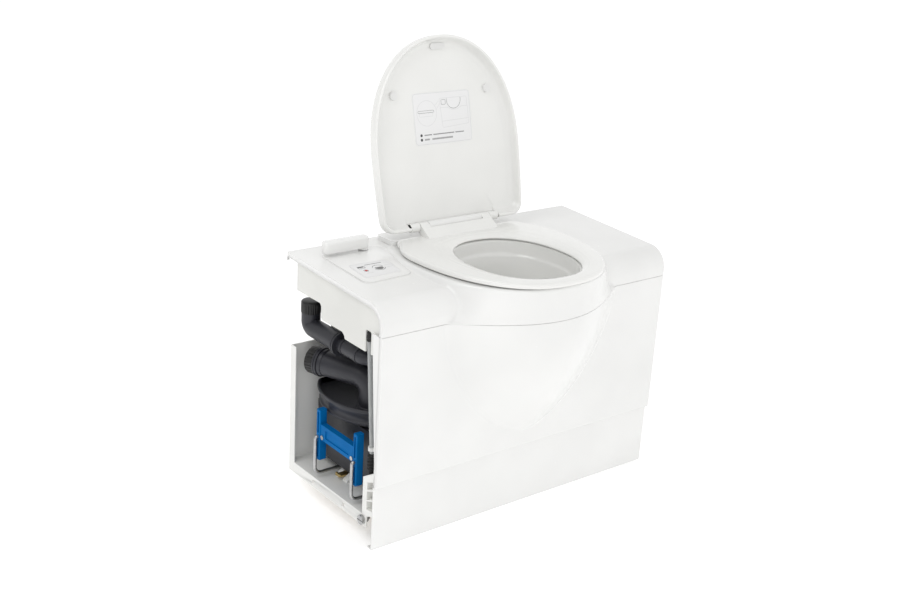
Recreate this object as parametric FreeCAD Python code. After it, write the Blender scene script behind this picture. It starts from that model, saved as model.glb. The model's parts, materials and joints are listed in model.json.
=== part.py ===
import FreeCAD, Part
import math
import os

os.makedirs("parts", exist_ok=True)

V = FreeCAD.Vector
X_AXIS = V(1, 0, 0)
Y_AXIS = V(0, 1, 0)
Z_AXIS = V(0, 0, 1)

# driving dimensions, millimetres
HALF_L = 340.0        # half the bench width
DEPTH = 306.0         # bench depth at the top
BACK_Z = 475.0        # top sheet height at the back edge
TOP_SLOPE = 2.56      # degrees the top sheet falls towards the front
NOSE_R = 42.0         # front top corner radius
SHEET = 4.0           # moulded sheet thickness
SEAM_Z = 409.0        # joint between top moulding and front panel
PANEL_Z = 125.0       # lower edge of the front panel
KICK_Y = 8.0          # kickboard set-back
PLAT_Z = 474.0        # flat area under the seat
BULGE_D = 90.0        # how far the bowl bulge stands out
BULGE_W = 215.0       # half width of the bulge at the seam
BULGE_LOW = 155.0     # height where the bulge fades out
SKIRT_X = 334.0       # outer face of the side skirts
SKIRT_T = 3.5
AXIS_Y = 250.0        # seat and lid hinge axis
AXIS_Z = 500.0
PIN_R = 4.0
RUN = 0.05            # radial running clearance
OPEN_DEG = 103.0      # lid angle from closed to the open rest pose
SEAT_HW = 177.0
SEAT_FRONT = -99.0
SEAT_BACK = 240.5
SEAT_TOP = 487.0
SEAT_T = 10.5
LID_HW = 172.5
LID_FRONT = -107.1
LID_BACK = 254.6
LID_RIM = 490.1        # rim height with the lid down
LID_FLOOR = 509.0      # inner face with the lid down
LID_TOP = 519.0
DATUM_Y = 15.0         # the part's zero is the middle of the kickboard's foot
TRAY_X = -332.0       # open left end of the cassette bay
TRAY_FLOOR = 52.0
TRAY_T = 2.5
TRAY_Y0 = 38.0
TRAY_Y1 = 303.0
TRAY_X1 = 170.0
REAR_TOP = 291.0
TANK_X0 = -285.0
TANK_X1 = 118.0
TANK_Y0 = 80.0
TANK_Y1 = 282.0
TANK_Z0 = 70.0
TANK_TOP = 178.0
NECK_TOP = 255.0
SHOULDER_X = -179.0    # centre of the round shoulder pan on the tank
SHOULDER_Y = 195.0
SHOULDER_Z = 206.0     # floor of the pan
SPOUT_X = -255.0
SPOUT_Y = 144.0
SPOUT_Z = 266.0
SPOUT_R = 24.0
SPOUT_TURN = 20.0      # how far the stowed spout is turned to the left
OUT_X = 10.0          # centre of the bowl outlet
OUT_Y = 140.0
ROD_R = 3.25
ROD_Z = 62.0
ROD_YS = (209.0, 87.0)
POST_X = -320.0
FILL_X = -300.0
FILL_Y = 285.0
FILL_Z = 328.0
LEVER_X = -212.0
LEVER_Y = 250.0
BTN_X = -240.0
BTN_Y = 158.0
HOOK_X = -333.0
TUBE_TOP = V(-331, 49, 386)
TUBE_LOW = V(-318, 48, 170)


def save(name, shape):
    shape.translate(V(0, -DATUM_Y, 0))
    shape.exportStep("parts/" + name + ".step")


def box(x0, y0, z0, x1, y1, z1):
    return Part.makeBox(x1 - x0, y1 - y0, z1 - z0, V(x0, y0, z0))


def rod(r, p0, p1):
    d = p1 - p0
    return Part.makeCylinder(r, d.Length, p0, d)


def pipe(r_out, r_in, p0, p1):
    return rod(r_out, p0, p1).cut(rod(r_in, p0, p1))


def prism(points, z0, z1):
    face = Part.Face(Part.makePolygon([V(x, y, z0) for x, y in points + points[:1]]))
    return face.extrude(V(0, 0, z1 - z0))


def side_prism(points, x0, x1):
    face = Part.Face(Part.makePolygon([V(x0, y, z) for y, z in points + points[:1]]))
    return face.extrude(V(x1 - x0, 0, 0))


def soften(shape, radius, test):
    edges = [e for e in shape.Edges if test(e)]
    return shape.makeFillet(radius, edges)


def upright(e):
    b = e.BoundBox
    return b.ZLength > 1.0 and b.XLength < 0.01 and b.YLength < 0.01


def top_z(y):
    return BACK_Z - math.tan(math.radians(TOP_SLOPE)) * (DEPTH - y)


def under_z(y):
    return top_z(y) - SHEET / math.cos(math.radians(TOP_SLOPE))


def on_top(shape):
    # takes a piece drawn on a flat top at z = 0 onto the sloping top sheet
    shape.rotate(V(0, DEPTH, 0), X_AXIS, TOP_SLOPE)
    shape.translate(V(0, 0, BACK_Z))
    return shape


def nose_face(inset, y_back, z_low, x0):
    # side profile of the bench top: sloping sheet, round nose, short drop
    th = math.radians(TOP_SLOPE)
    cz = top_z(NOSE_R - NOSE_R * math.sin(th)) - NOSE_R * math.cos(th)
    r = NOSE_R - inset
    a = V(x0, y_back, top_z(y_back) - inset / math.cos(th))
    b = V(x0, NOSE_R - r * math.sin(th), cz + r * math.cos(th))
    mid = math.radians(45 + TOP_SLOPE / 2)
    m = V(x0, NOSE_R - r * math.sin(mid), cz + r * math.cos(mid))
    c = V(x0, inset, cz)
    d = V(x0, inset, z_low)
    e = V(x0, y_back, z_low)
    edges = [Part.LineSegment(a, b).toShape(), Part.Arc(b, m, c).toShape(),
             Part.LineSegment(c, d).toShape(), Part.LineSegment(d, e).toShape(),
             Part.LineSegment(e, a).toShape()]
    return Part.Face(Part.Wire(edges))


def bulge_size(z):
    # half width, depth and fullness of the bulge at height z
    if z >= SEAM_Z:
        k = (z - SEAM_Z) / (PLAT_Z - SEAM_Z)
        return BULGE_W - k * (BULGE_W - 157.0), BULGE_D, 1.4 - 0.75 * k
    s = (SEAM_Z - z) / (SEAM_Z - BULGE_LOW)
    w = BULGE_W * (1 - s ** 1.6) ** 0.62
    d = BULGE_D * (1 - s ** 1.8) ** 1.05
    return w, d, 1.4


def bulge_wire(z, inset, z_at=None):
    w, d, p = bulge_size(z)
    w = w - inset * 1.3
    d = d - inset
    h = z if z_at is None else z_at
    n = 14
    pts = []
    for i in range(n + 1):
        t = -math.cos(math.pi * i / n)
        pts.append(V(w * t, 1.5 - (d + 1.5) * max(0.0, 1 - t * t) ** p, h))
    curve = Part.BSplineCurve()
    curve.interpolate(pts)
    a = pts[0]
    b = pts[-1]
    back = 30.0
    return Part.Wire([curve.toShape(), Part.LineSegment(b, V(b.x, back, h)).toShape(),
                      Part.LineSegment(V(b.x, back, h), V(a.x, back, h)).toShape(),
                      Part.LineSegment(V(a.x, back, h), a).toShape()])


def bulge(levels, inset):
    return Part.makeLoft([bulge_wire(z, inset) for z in levels], True, False)


def egg_edges(hw, y_front, y_wide, y_back, hw_back, rc, z, n_pow=2.3):
    # seat-like outline: full round front, narrower straight back
    pts = []
    n = 12
    ln = y_wide - y_front
    for i in range(n + 1):
        a = math.pi * i / n
        c = math.cos(a)
        s = math.sin(a)
        px = hw * math.copysign(abs(c) ** (2 / n_pow), c)
        py = y_wide - ln * abs(s) ** (2 / n_pow)
        pts.append(V(px, py, z))
    curve = Part.BSplineCurve()
    curve.interpolate(pts, InitialTangent=V(0, -1, 0), FinalTangent=V(0, 1, 0))
    front = curve.toShape()

    def side(sign):
        yb = y_back - rc
        ym = (y_wide + yb) / 2
        wm = hw - (hw - hw_back) * ((ym - y_wide) / (yb - y_wide)) ** 2
        return Part.Arc(V(sign * hw, y_wide, z), V(sign * wm, ym, z),
                        V(sign * hw_back, yb, z)).toShape()

    def corner(sign):
        k = rc * (1 - math.sqrt(0.5))
        return Part.Arc(V(sign * hw_back, y_back - rc, z),
                        V(sign * (hw_back - k), y_back - k, z),
                        V(sign * (hw_back - rc), y_back, z)).toShape()

    back = Part.LineSegment(V(-(hw_back - rc), y_back, z), V(hw_back - rc, y_back, z)).toShape()
    return Part.Wire(Part.__sortEdges__([front, side(-1), corner(-1), back, corner(1), side(1)]))


def egg_prism(hw, y_front, y_wide, y_back, hw_back, rc, z0, z1):
    wire = egg_edges(hw, y_front, y_wide, y_back, hw_back, rc, z0)
    return Part.Face(wire).extrude(V(0, 0, z1 - z0))


def egg_stack(hw, y_front, y_wide, y_back, hw_back, rc, levels, n_pow=2.3):
    # the same outline drawn in by an inset at each height, for a rounded edge
    wires = []
    for inset, z in levels:
        wires.append(egg_edges(hw - inset, y_front + inset, y_wide, y_back - inset,
                               hw_back - inset, rc - inset / 2, z, n_pow))
    return Part.makeLoft(wires, True, True)


def oval_wire(hw, y_front, y_back, z, cx=0.0, n_pow=2.2):
    cy = (y_front + y_back) / 2
    hl = (y_back - y_front) / 2
    n = 24
    pts = []
    for i in range(n):
        a = 2 * math.pi * i / n
        c = math.cos(a)
        s = math.sin(a)
        pts.append(V(cx + hw * math.copysign(abs(c) ** (2 / n_pow), c),
                     cy + hl * math.copysign(abs(s) ** (2 / n_pow), s), z))
    curve = Part.BSplineCurve()
    curve.interpolate(pts, PeriodicFlag=True)
    return Part.Wire([curve.toShape()])


def oval_prism(hw, y_front, y_back, z0, z1):
    return Part.Face(oval_wire(hw, y_front, y_back, z0)).extrude(V(0, 0, z1 - z0))


# ---- bench ----

UPPER = (SEAM_Z, 424.0, 441.0, 458.0, PLAT_Z)
LOWER = (159.0, 175.0, 200.0, 235.0, 280.0, 330.0, 372.0, SEAM_Z - 0.4)


def skirt():
    ti = SKIRT_X - SKIRT_T
    pts = [(281, 470), (281, 406), (203, 406), (199, 401), (199, 380), (194, 376), (130, 376),
           (123, 371), (122, 365), (40, 364), (12, 370), (6, 380), (6, 425)]
    pts = pts + [(12, 444), (24, 455), (40, 459)]
    slot = box(-SKIRT_X - 1, 41, 350, -ti + 1, 57, 406)
    return side_prism(pts, -SKIRT_X, -ti).cut(slot)


def top_moulding():
    full = nose_face(0, DEPTH, SEAM_Z, -HALF_L).extrude(V(2 * HALF_L, 0, 0))
    hollow = nose_face(SHEET, DEPTH + 5, SEAM_Z - 5, -HALF_L - 1).extrude(V(2 * HALF_L + 2, 0, 0))
    plat = egg_prism(188, -20, 120, 303, 142, 30, 440, PLAT_Z)
    plat_in = egg_prism(184, -16, 120, 299, 138, 26, 400, PLAT_Z - SHEET)
    lip_in = bulge_wire(SEAM_Z, SHEET, SEAM_Z - 6)
    inner = Part.makeLoft([lip_in] + [bulge_wire(z, SHEET) for z in UPPER[:-1]]
                          + [bulge_wire(PLAT_Z, SHEET, PLAT_Z - SHEET)], True, False)
    sheet = full.fuse(bulge(UPPER, 0)).fuse(plat)
    sheet = sheet.cut(hollow).cut(inner).cut(plat_in)
    edge_l = box(-HALF_L, 0, 380, -HALF_L + SHEET, DEPTH, 480)
    edge_r = box(HALF_L - SHEET, 0, 380, HALF_L, DEPTH, 480)
    rim = nose_face(0, DEPTH, SEAM_Z, -HALF_L).extrude(V(2 * HALF_L, 0, 0))
    rim_in = nose_face(9, DEPTH + 5, SEAM_Z - 5, -HALF_L - 1).extrude(V(2 * HALF_L + 2, 0, 0))
    rim = rim.cut(rim_in)
    sheet = sheet.fuse(rim.common(edge_l)).fuse(rim.common(edge_r))
    deep = nose_face(1, DEPTH, 300, -HALF_L).extrude(V(2 * HALF_L, 0, 0))
    left = skirt().common(deep)
    right = left.mirror(V(0, 0, 0), X_AXIS)
    web = nose_face(SHEET - 0.01, DEPTH, SEAM_Z, -HALF_L).extrude(V(SKIRT_T + 6, 0, 0))
    web = web.common(rim)
    sheet = sheet.fuse(web).fuse(web.mirror(V(0, 0, 0), X_AXIS)).fuse(left).fuse(right)
    sheet = sheet.cut(oval_prism(112, -66, 190, 440, 500))
    sheet = sheet.cut(rod(9.5, V(BTN_X, BTN_Y, 450), V(BTN_X, BTN_Y, 490)))
    sheet = sheet.cut(rod(5.6, V(LEVER_X, LEVER_Y, 450), V(LEVER_X, LEVER_Y, 490)))
    return sheet.removeSplitter()


def front_panel():
    zt = SEAM_Z - 0.4
    plate = box(-HALF_L, 0, PANEL_Z, HALF_L, SHEET, zt)
    outer = bulge(LOWER, 0)
    cut_in = Part.makeLoft([bulge_wire(z, SHEET) for z in LOWER[1:-1]]
                           + [bulge_wire(zt, SHEET, zt + 1)], True, False)
    keep = box(-HALF_L, -200, PANEL_Z, HALF_L, SHEET, zt)
    shell = plate.fuse(outer.common(keep)).cut(cut_in)
    flange = side_prism([(SHEET - 0.5, zt), (30, zt), (9, 150), (6, PANEL_Z),
                         (SHEET - 0.5, PANEL_Z)], -HALF_L, -HALF_L + 3)
    lip = box(-HALF_L, SHEET - 0.5, PANEL_Z, HALF_L, KICK_Y, PANEL_Z + 4)
    panel = shell.fuse(flange).fuse(flange.mirror(V(0, 0, 0), X_AXIS)).fuse(lip)
    return panel.removeSplitter()


def kickboard():
    board = box(-HALF_L, KICK_Y, 0, HALF_L, KICK_Y + 3, PANEL_Z + 6)
    foot = box(-HALF_L, KICK_Y + 3, 0, HALF_L, KICK_Y + 14, 3)
    return board.fuse(foot).removeSplitter()


def end_panel():
    x0 = 312.0
    wall = side_prism([(KICK_Y + 14, 0), (300, 0), (300, under_z(300)), (60, under_z(60)),
                       (22, 425)], x0, x0 + 6)
    foot = box(x0 - 24, 60, 0, x0, 288, 6)
    return wall.fuse(foot).removeSplitter()


def rear_frame():
    y0 = 288.0
    y1 = 300.0
    frame = side_prism([(y0, 0), (y1, 0), (y1, under_z(y1)), (y0, under_z(y0))], -60, 312)
    rail = side_prism([(y0, 440), (y1, 440), (y1, under_z(y1)), (y0, under_z(y0))], -262, -60)
    frame = frame.fuse(rail)
    frame = frame.cut(box(-61, 280, -1, TRAY_X1 + 2, 310, REAR_TOP + 1))
    return frame.removeSplitter()


def bay_tray():
    floor = box(TRAY_X, TRAY_Y0, TRAY_FLOOR - TRAY_T, TRAY_X1, TRAY_Y1, TRAY_FLOOR)
    flange = box(TRAY_X, TRAY_Y0, 30, TRAY_X + TRAY_T, TRAY_Y1, TRAY_FLOOR)
    rear = box(TRAY_X, TRAY_Y1 - TRAY_T, TRAY_FLOOR - 1, TRAY_X1, TRAY_Y1, REAR_TOP)
    strip = box(TRAY_X, TRAY_Y1 - 18, TRAY_FLOOR - 1, TRAY_X + TRAY_T, TRAY_Y1, REAR_TOP)
    front = box(TRAY_X + 18, TRAY_Y0, TRAY_FLOOR - 1, TRAY_X1, TRAY_Y0 + TRAY_T, 70)
    stop = box(TRAY_X1 - TRAY_T, TRAY_Y0, TRAY_FLOOR - 1, TRAY_X1, TRAY_Y1, 150)
    tray = floor.fuse(flange).fuse(rear).fuse(strip).fuse(front).fuse(stop)
    for y in (113.0, 216.0):
        tray = tray.cut(rod(3.0, V(TRAY_X - 5, y, 41), V(TRAY_X + 10, y, 41)))
    tray = tray.cut(rod(4.0, V(TRAY_X - 5, 50, 41), V(TRAY_X + 10, 50, 41)))
    return tray.removeSplitter()


def tray_bearers():
    bearers = []
    for x in (-262.0, -90.0, 84.0):
        bearers.append(box(x, 46, 0, x + 34, 288, TRAY_FLOOR - TRAY_T))
    return Part.makeCompound(bearers)


def front_post():
    post = side_prism([(14, 62), (38, TRAY_FLOOR), (52, TRAY_FLOOR), (52, 126), (14, 149)],
                      TRAY_X, TRAY_X + 18)
    for z0, z1 in ((66, 88), (91, 108), (111, 126)):
        post = post.cut(side_prism([(17, z0 + 3), (39, z0 - 6 if z0 > 70 else z0), (39, z1 - 6),
                                    (17, z1 + 3)], TRAY_X - 1, TRAY_X + 15))
    stem = rod(4.5, V(TUBE_LOW.x, TUBE_LOW.y, 50), V(TUBE_LOW.x, TUBE_LOW.y, 160))
    corner = box(TUBE_LOW.x, TUBE_LOW.y, 50, TRAY_X + 19, 53, 160)
    return post.cut(stem).cut(corner)


def tray_bolt():
    head = rod(9, V(TRAY_X - 6, 50, 41), V(TRAY_X, 50, 41))
    head = head.cut(box(TRAY_X - 7, 41, 40, TRAY_X - 4, 59, 42))
    shank = rod(4.0, V(TRAY_X, 50, 41), V(TRAY_X + 14, 50, 41))
    nut = rod(8, V(TRAY_X + TRAY_T, 50, 41), V(TRAY_X + 9, 50, 41))
    return head.fuse(shank).fuse(nut).removeSplitter()


BOWL_LEVELS = ((PLAT_Z, 111.7, -65.7, 189.7, 0), (452, 108, -60, 186, 0),
               (431, 103.5, -51.5, 180.5, 0.5), (410, 98, -42, 177.5, 1),
               (390, 91, -29.5, 177, 2), (370, 84, -15, 180, 3), (350, 77, 4, 184.5, 4),
               (335, 70, 28, 189, 6), (320, 62, 58, 192.5, 8), (308, 57, 77, 194.3, 9.5),
               (298, 54.3, 85.5, 194.3, OUT_X), (290.5, 54, 86, 194, OUT_X))


def bowl_skin(inset, over):
    # oval sections: height, half width, front, back and centre
    wires = []
    for z, h, a, b, c in BOWL_LEVELS:
        if z == PLAT_Z:
            z += over
        if z == 290.5:
            z -= over
        wires.append(oval_wire(h - inset, a + inset, b - inset, z, c))
    return Part.makeLoft(wires, True, True)


def bowl_outer():
    return bowl_skin(0, 0)


def bowl():
    flange = oval_prism(121, -74, 199, PLAT_Z - SHEET - 4, PLAT_Z - SHEET)
    shape = bowl_outer().fuse(flange).cut(bowl_skin(4.5, 0.01))
    return shape.removeSplitter()


def bowl_seal():
    return pipe(58, 49, V(OUT_X, OUT_Y, 287.9), V(OUT_X, OUT_Y, 290.5))


def valve_housing():
    shell = box(OUT_X - 76, OUT_Y - 70, 266, OUT_X + 226, OUT_Y + 70, 287.9)
    shell = soften(shell, 12, upright)
    pocket = box(OUT_X - 68, OUT_Y - 62, 272, OUT_X + 220, OUT_Y + 62, 279)
    bore = rod(49, V(OUT_X, OUT_Y, 260), V(OUT_X, OUT_Y, 295))
    return shell.cut(pocket).cut(bore)


def slide_blade():
    plate = box(OUT_X - 58, OUT_Y - 58, 273, OUT_X + 60, OUT_Y + 58, 278)
    plate = soften(plate, 40, upright)
    rib = box(OUT_X + 56, OUT_Y - 40, 273, OUT_X + 62, OUT_Y + 40, 278)
    return plate.fuse(rib).removeSplitter()


def hinge_block():
    base = soften(box(-150, 241, PLAT_Z, 150, 297, 483), 9, upright)
    bench = nose_face(0, DEPTH + 5, SEAM_Z, -HALF_L).extrude(V(2 * HALF_L, 0, 0))
    base = base.cut(bench)
    stand = box(-63.4, AXIS_Y - 9, 480, 63.4, AXIS_Y + 9, AXIS_Z)
    base = base.fuse(stand)
    base = base.fuse(rod(9, V(-63.4, AXIS_Y, AXIS_Z), V(63.4, AXIS_Y, AXIS_Z)))
    base = base.cut(rod(PIN_R, V(-160, AXIS_Y, AXIS_Z), V(160, AXIS_Y, AXIS_Z)))
    return base.removeSplitter()


def hinge_pin():
    return rod(PIN_R, V(-106, AXIS_Y, AXIS_Z), V(106, AXIS_Y, AXIS_Z))


# ---- seat and lid ----

def seat_ring():
    z0 = SEAT_TOP - SEAT_T
    ring = egg_stack(SEAT_HW, SEAT_FRONT, 146, SEAT_BACK, 152, 22,
                     ((1, z0), (0, z0 + 1.5), (0, SEAT_TOP - 4), (1.2, SEAT_TOP - 1.2),
                      (4, SEAT_TOP)))
    bridge = side_prism([(214, 486.5), (240.5, 503.5), (240.5, 478), (225, 477.5)], -84.7, 84.7)
    ring = ring.fuse(bridge)
    ring = ring.cut(oval_prism(103, -68, 184, z0 - 1, SEAT_TOP + 1))
    for sign in (-1, 1):
        x0 = sign * 74.4 - 10.3
        ear = rod(8.5, V(x0, AXIS_Y, AXIS_Z), V(x0 + 20.6, AXIS_Y, AXIS_Z))
        web = side_prism([(220, z0 + 1), (231, z0 + 1), (256, 494), (250, 508), (243, 505),
                          (220, SEAT_TOP - 0.5)], x0, x0 + 20.6)
        ring = ring.fuse(web.fuse(ear))
    ring = ring.cut(rod(PIN_R + RUN, V(-120, AXIS_Y, AXIS_Z), V(120, AXIS_Y, AXIS_Z)))
    return ring.removeSplitter()


def seat_buffers():
    pads = []
    for x, y in ((-132, 170), (132, 170), (-118, 20), (118, 20)):
        pad = box(x - 14, y - 5, PLAT_Z + 0.5, x + 14, y + 5, SEAT_TOP - SEAT_T)
        pads.append(soften(pad, 4.5, upright))
    return Part.makeCompound(pads)


def tip_open(shape):
    shape.rotate(V(0, AXIS_Y, AXIS_Z), X_AXIS, -OPEN_DEG)
    return shape


def lid_shell():
    zt = LID_TOP
    lid = egg_stack(LID_HW, LID_FRONT, 110, LID_BACK, 169, 26,
                    ((0.6, LID_RIM), (0, LID_RIM + 1), (0.4, zt - 12), (2.2, zt - 7),
                     (6, zt - 3), (11, zt - 0.8), (17, zt)), 2.15)
    pan = egg_stack(LID_HW, LID_FRONT, 110, LID_BACK, 169, 26,
                    ((3.6, LID_RIM - 1), (4.4, LID_RIM + 2), (6, 497), (9.5, 502.5),
                     (14, 506.6), (21, LID_FLOOR)), 2.15)
    lid = lid.cut(pan)
    lid = lid.cut(box(-106.6, 226, LID_RIM - 5, 106.6, 270, LID_FLOOR + 0.6))
    lid = lid.cut(box(-106.6, AXIS_Y - 2, LID_RIM - 5, 106.6, 270, zt + 5))
    for sign in (-1, 1):
        x0 = sign * 95.8 - 10.2
        ear = rod(8.5, V(x0, AXIS_Y, AXIS_Z), V(x0 + 20.4, AXIS_Y, AXIS_Z))
        web = box(x0, AXIS_Y - 8.5, AXIS_Z, x0 + 20.4, AXIS_Y - 1, LID_FLOOR + 3)
        lid = lid.fuse(web.fuse(ear))
    lid = lid.cut(rod(PIN_R + RUN, V(-120, AXIS_Y, AXIS_Z), V(120, AXIS_Y, AXIS_Z)))
    return tip_open(lid.removeSplitter())


def lid_bumper(x, y):
    return tip_open(rod(8, V(x, y, LID_FLOOR - 5), V(x, y, LID_FLOOR)))


def lid_oval_bumper():
    pad = box(-17, -92.5, LID_FLOOR - 4, 17, -80.5, LID_FLOOR)
    pad = tip_open(soften(pad, 5.5, lambda e: abs(e.BoundBox.ZLength - 4) < 0.1))
    return pad.cut(lid_shell())


def lid_label():
    tag = box(-68, -1, LID_FLOOR - 0.6, 70, 98, LID_FLOOR)
    return tip_open(soften(tag, 8, lambda e: abs(e.BoundBox.ZLength - 0.6) < 0.01))


# ---- controls ----

def control_plate():
    pts = [(-302, 106), (-198, 112), (-192, 150), (-166, 257), (-300, 264)]
    plate = prism(pts, 0, 2.5)
    plate = soften(plate, 14, lambda e: upright(e) and abs(e.CenterOfMass.x + 192) > 1)
    plate = on_top(plate)
    plate = plate.cut(rod(9.5, V(BTN_X, BTN_Y, 450), V(BTN_X, BTN_Y, 490)))
    return plate.cut(rod(5.6, V(LEVER_X, LEVER_Y, 450), V(LEVER_X, LEVER_Y, 490)))


def panel_label():
    tag = prism([(-290, 124), (-212, 126), (-204, 186), (-286, 190)], 2.5, 3.1)
    tag = on_top(soften(tag, 6, lambda e: e.BoundBox.ZLength > 0.5 and e.BoundBox.XLength < 0.01))
    tag = tag.cut(rod(3.0, V(-270, 154, 450), V(-270, 154, 490)))
    return tag.cut(rod(10, V(BTN_X, BTN_Y, 450), V(BTN_X, BTN_Y, 490)))


def level_lamp():
    return on_top(rod(2.8, V(-270, 154, 2.5), V(-270, 154, 4.0)))


def flush_button():
    zt = top_z(BTN_Y) + 3.6
    cap = rod(9.0, V(BTN_X, BTN_Y, 459.5), V(BTN_X, BTN_Y, zt))
    return soften(cap, 1.0, lambda e: abs(e.CenterOfMass.z - zt) < 0.01)


def control_box():
    case = soften(box(-292, 112, 440, -208, 194, 457), 6, upright)
    side = [(122, 456), (184, 456), (184, under_z(184)), (122, under_z(122))]
    rails = side_prism(side, -292, -288).fuse(side_prism(side, -212, -208))
    return case.fuse(rails).removeSplitter()


def blade_lever():
    bar = box(-301, LEVER_Y - 11.5, 480.5, -205, LEVER_Y + 7.5, 504)
    bar = soften(bar, 7, upright)
    bar = soften(bar, 4, lambda e: abs(e.CenterOfMass.z - 504) < 0.01)
    foot = rod(9, V(LEVER_X, LEVER_Y, 476.5), V(LEVER_X, LEVER_Y, 480.5))
    shape = bar.fuse(foot)
    return shape.cut(rod(5, V(LEVER_X, LEVER_Y, 470), V(LEVER_X, LEVER_Y, 488))).removeSplitter()


def lever_spindle():
    shaft = rod(5, V(LEVER_X, LEVER_Y, 446), V(LEVER_X, LEVER_Y, 488))
    return shaft.fuse(rod(9, V(LEVER_X, LEVER_Y, 446), V(LEVER_X, LEVER_Y, 452))).removeSplitter()


# ---- flush water ----

def fill_elbow():
    r = 18.0
    neck = rod(16, V(FILL_X, FILL_Y, FILL_Z + 20), V(FILL_X, FILL_Y, 376))
    ball = Part.makeSphere(r, V(FILL_X, FILL_Y, FILL_Z))
    run = rod(r, V(FILL_X, FILL_Y, FILL_Z), V(FILL_X, 188, FILL_Z))
    drop = rod(r, V(FILL_X, FILL_Y, FILL_Z), V(FILL_X, FILL_Y, FILL_Z + 22))
    ring = rod(23, V(FILL_X, 188, FILL_Z), V(FILL_X, 178, FILL_Z))
    shape = neck.fuse(ball).fuse(run).fuse(drop).fuse(ring)
    bore = rod(13, V(FILL_X, FILL_Y, FILL_Z), V(FILL_X, FILL_Y, 377))
    bore = bore.fuse(rod(13, V(FILL_X, FILL_Y, FILL_Z), V(FILL_X, 170, FILL_Z)))
    bore = bore.fuse(Part.makeSphere(13, V(FILL_X, FILL_Y, FILL_Z)))
    return shape.cut(bore).removeSplitter()


def fill_pipe():
    r = 14.5
    ye = 102.0
    a = V(FILL_X, 178, FILL_Z)
    b = V(FILL_X, ye, FILL_Z)
    c = V(-262, ye, FILL_Z)
    shape = rod(r, a, b).fuse(Part.makeSphere(r, b)).fuse(rod(r, b, c))
    bore = rod(11, V(FILL_X, 179, FILL_Z), b).fuse(Part.makeSphere(11, b)).fuse(rod(11, b, c))
    return shape.cut(bore).removeSplitter()


def fill_cap():
    top = 381.0
    cap = rod(19, V(FILL_X, FILL_Y, 356), V(FILL_X, FILL_Y, top))
    cap = cap.cut(rod(16.4, V(FILL_X, FILL_Y, 355), V(FILL_X, FILL_Y, 376.6)))
    for i in range(18):
        a = 2 * math.pi * i / 18
        p = V(FILL_X + 19.4 * math.cos(a), FILL_Y + 19.4 * math.sin(a), 355)
        cap = cap.cut(rod(1.3, p, p + V(0, 0, 20)))
    return cap


def flush_tank():
    tank = box(-262, 92, 302, -128, 284, 436)
    tank = soften(tank, 14, upright)
    inner = soften(box(-258, 96, 306, -132, 280, 432), 10, upright)
    tank = tank.fuse(box(-250, 284, 416, -140, 288, 446)).fuse(box(-250, 272, 416, -140, 284, 434))
    tank = tank.cut(inner)
    tank = tank.cut(rod(11, V(-270, 102, FILL_Z), V(-250, 102, FILL_Z)))
    return tank.cut(rod(4, V(-135, 256, 318), V(-120, 256, 318))).removeSplitter()


def flush_pump():
    body = rod(20, V(-60, 256, 300), V(-60, 256, 356))
    head = rod(24, V(-60, 256, 356), V(-60, 256, 368))
    foot = box(-58, 270, 320, -48, 288, 350)
    return body.fuse(head).fuse(foot).removeSplitter()


def flush_hose():
    low = pipe(6, 4, V(-128, 256, 318), V(-80, 256, 318))
    up = rod(6, V(-60, 246, 368), V(-60, 246, 438))
    over = rod(6, V(-60, 246, 438), V(0, 246, 438))
    into = rod(6, V(0, 246, 438), V(0, 208, 438))
    up = up.fuse(Part.makeSphere(6, V(-60, 246, 438))).fuse(over)
    up = up.fuse(Part.makeSphere(6, V(0, 246, 438))).fuse(into)
    return Part.makeCompound([low, up.removeSplitter()])


def flush_nozzle():
    body = soften(box(-16, 176, 428, 16, 208, 448), 3, upright)
    return body.cut(bowl_outer())


def on_tube(z):
    f = (z - TUBE_LOW.z) / (TUBE_TOP.z - TUBE_LOW.z)
    return TUBE_LOW + (TUBE_TOP - TUBE_LOW) * f


def level_tube():
    return pipe(4.2, 2.8, TUBE_LOW, TUBE_TOP)


def tube_top_plug():
    x = TUBE_TOP.x
    y = TUBE_TOP.y - 1
    stem = rod(5, V(x, y, 387), V(x, y, 404))
    for z in (387.5, 391.5, 395.5, 399.5):
        stem = stem.fuse(rod(6.2, V(x, y, z), V(x, y, z + 2.2)))
    arm = box(-330.2, 26, 390, x + 6, y - 2, 398)
    return stem.fuse(arm).removeSplitter()


def drain_bellows():
    x = TUBE_LOW.x
    y = TUBE_LOW.y
    shape = rod(6, V(x, y, 137), V(x, y, 169.6))
    for i in range(4):
        z = 138 + 7.5 * i
        shape = shape.fuse(Part.makeCone(6, 8.2, 3, V(x, y, z), Z_AXIS))
        shape = shape.fuse(Part.makeCone(8.2, 6, 3, V(x, y, z + 3), Z_AXIS))
    shape = shape.fuse(rod(4.5, V(x, y, TRAY_FLOOR), V(x, y, 137)))
    return shape.removeSplitter()


def tube_clip():
    low = on_tube(176)
    high = on_tube(183)
    ring = pipe(6.6, 4.2, low, high)
    arm = box(TUBE_LOW.x - 2, 12, 176.5, TUBE_LOW.x + 2, TUBE_LOW.y - 5.5, 182.5)
    arm = arm.fuse(box(-337, 8, 174, TUBE_LOW.x + 2, 12, 184))
    return ring.fuse(arm).removeSplitter()


# ---- cassette ----

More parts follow.
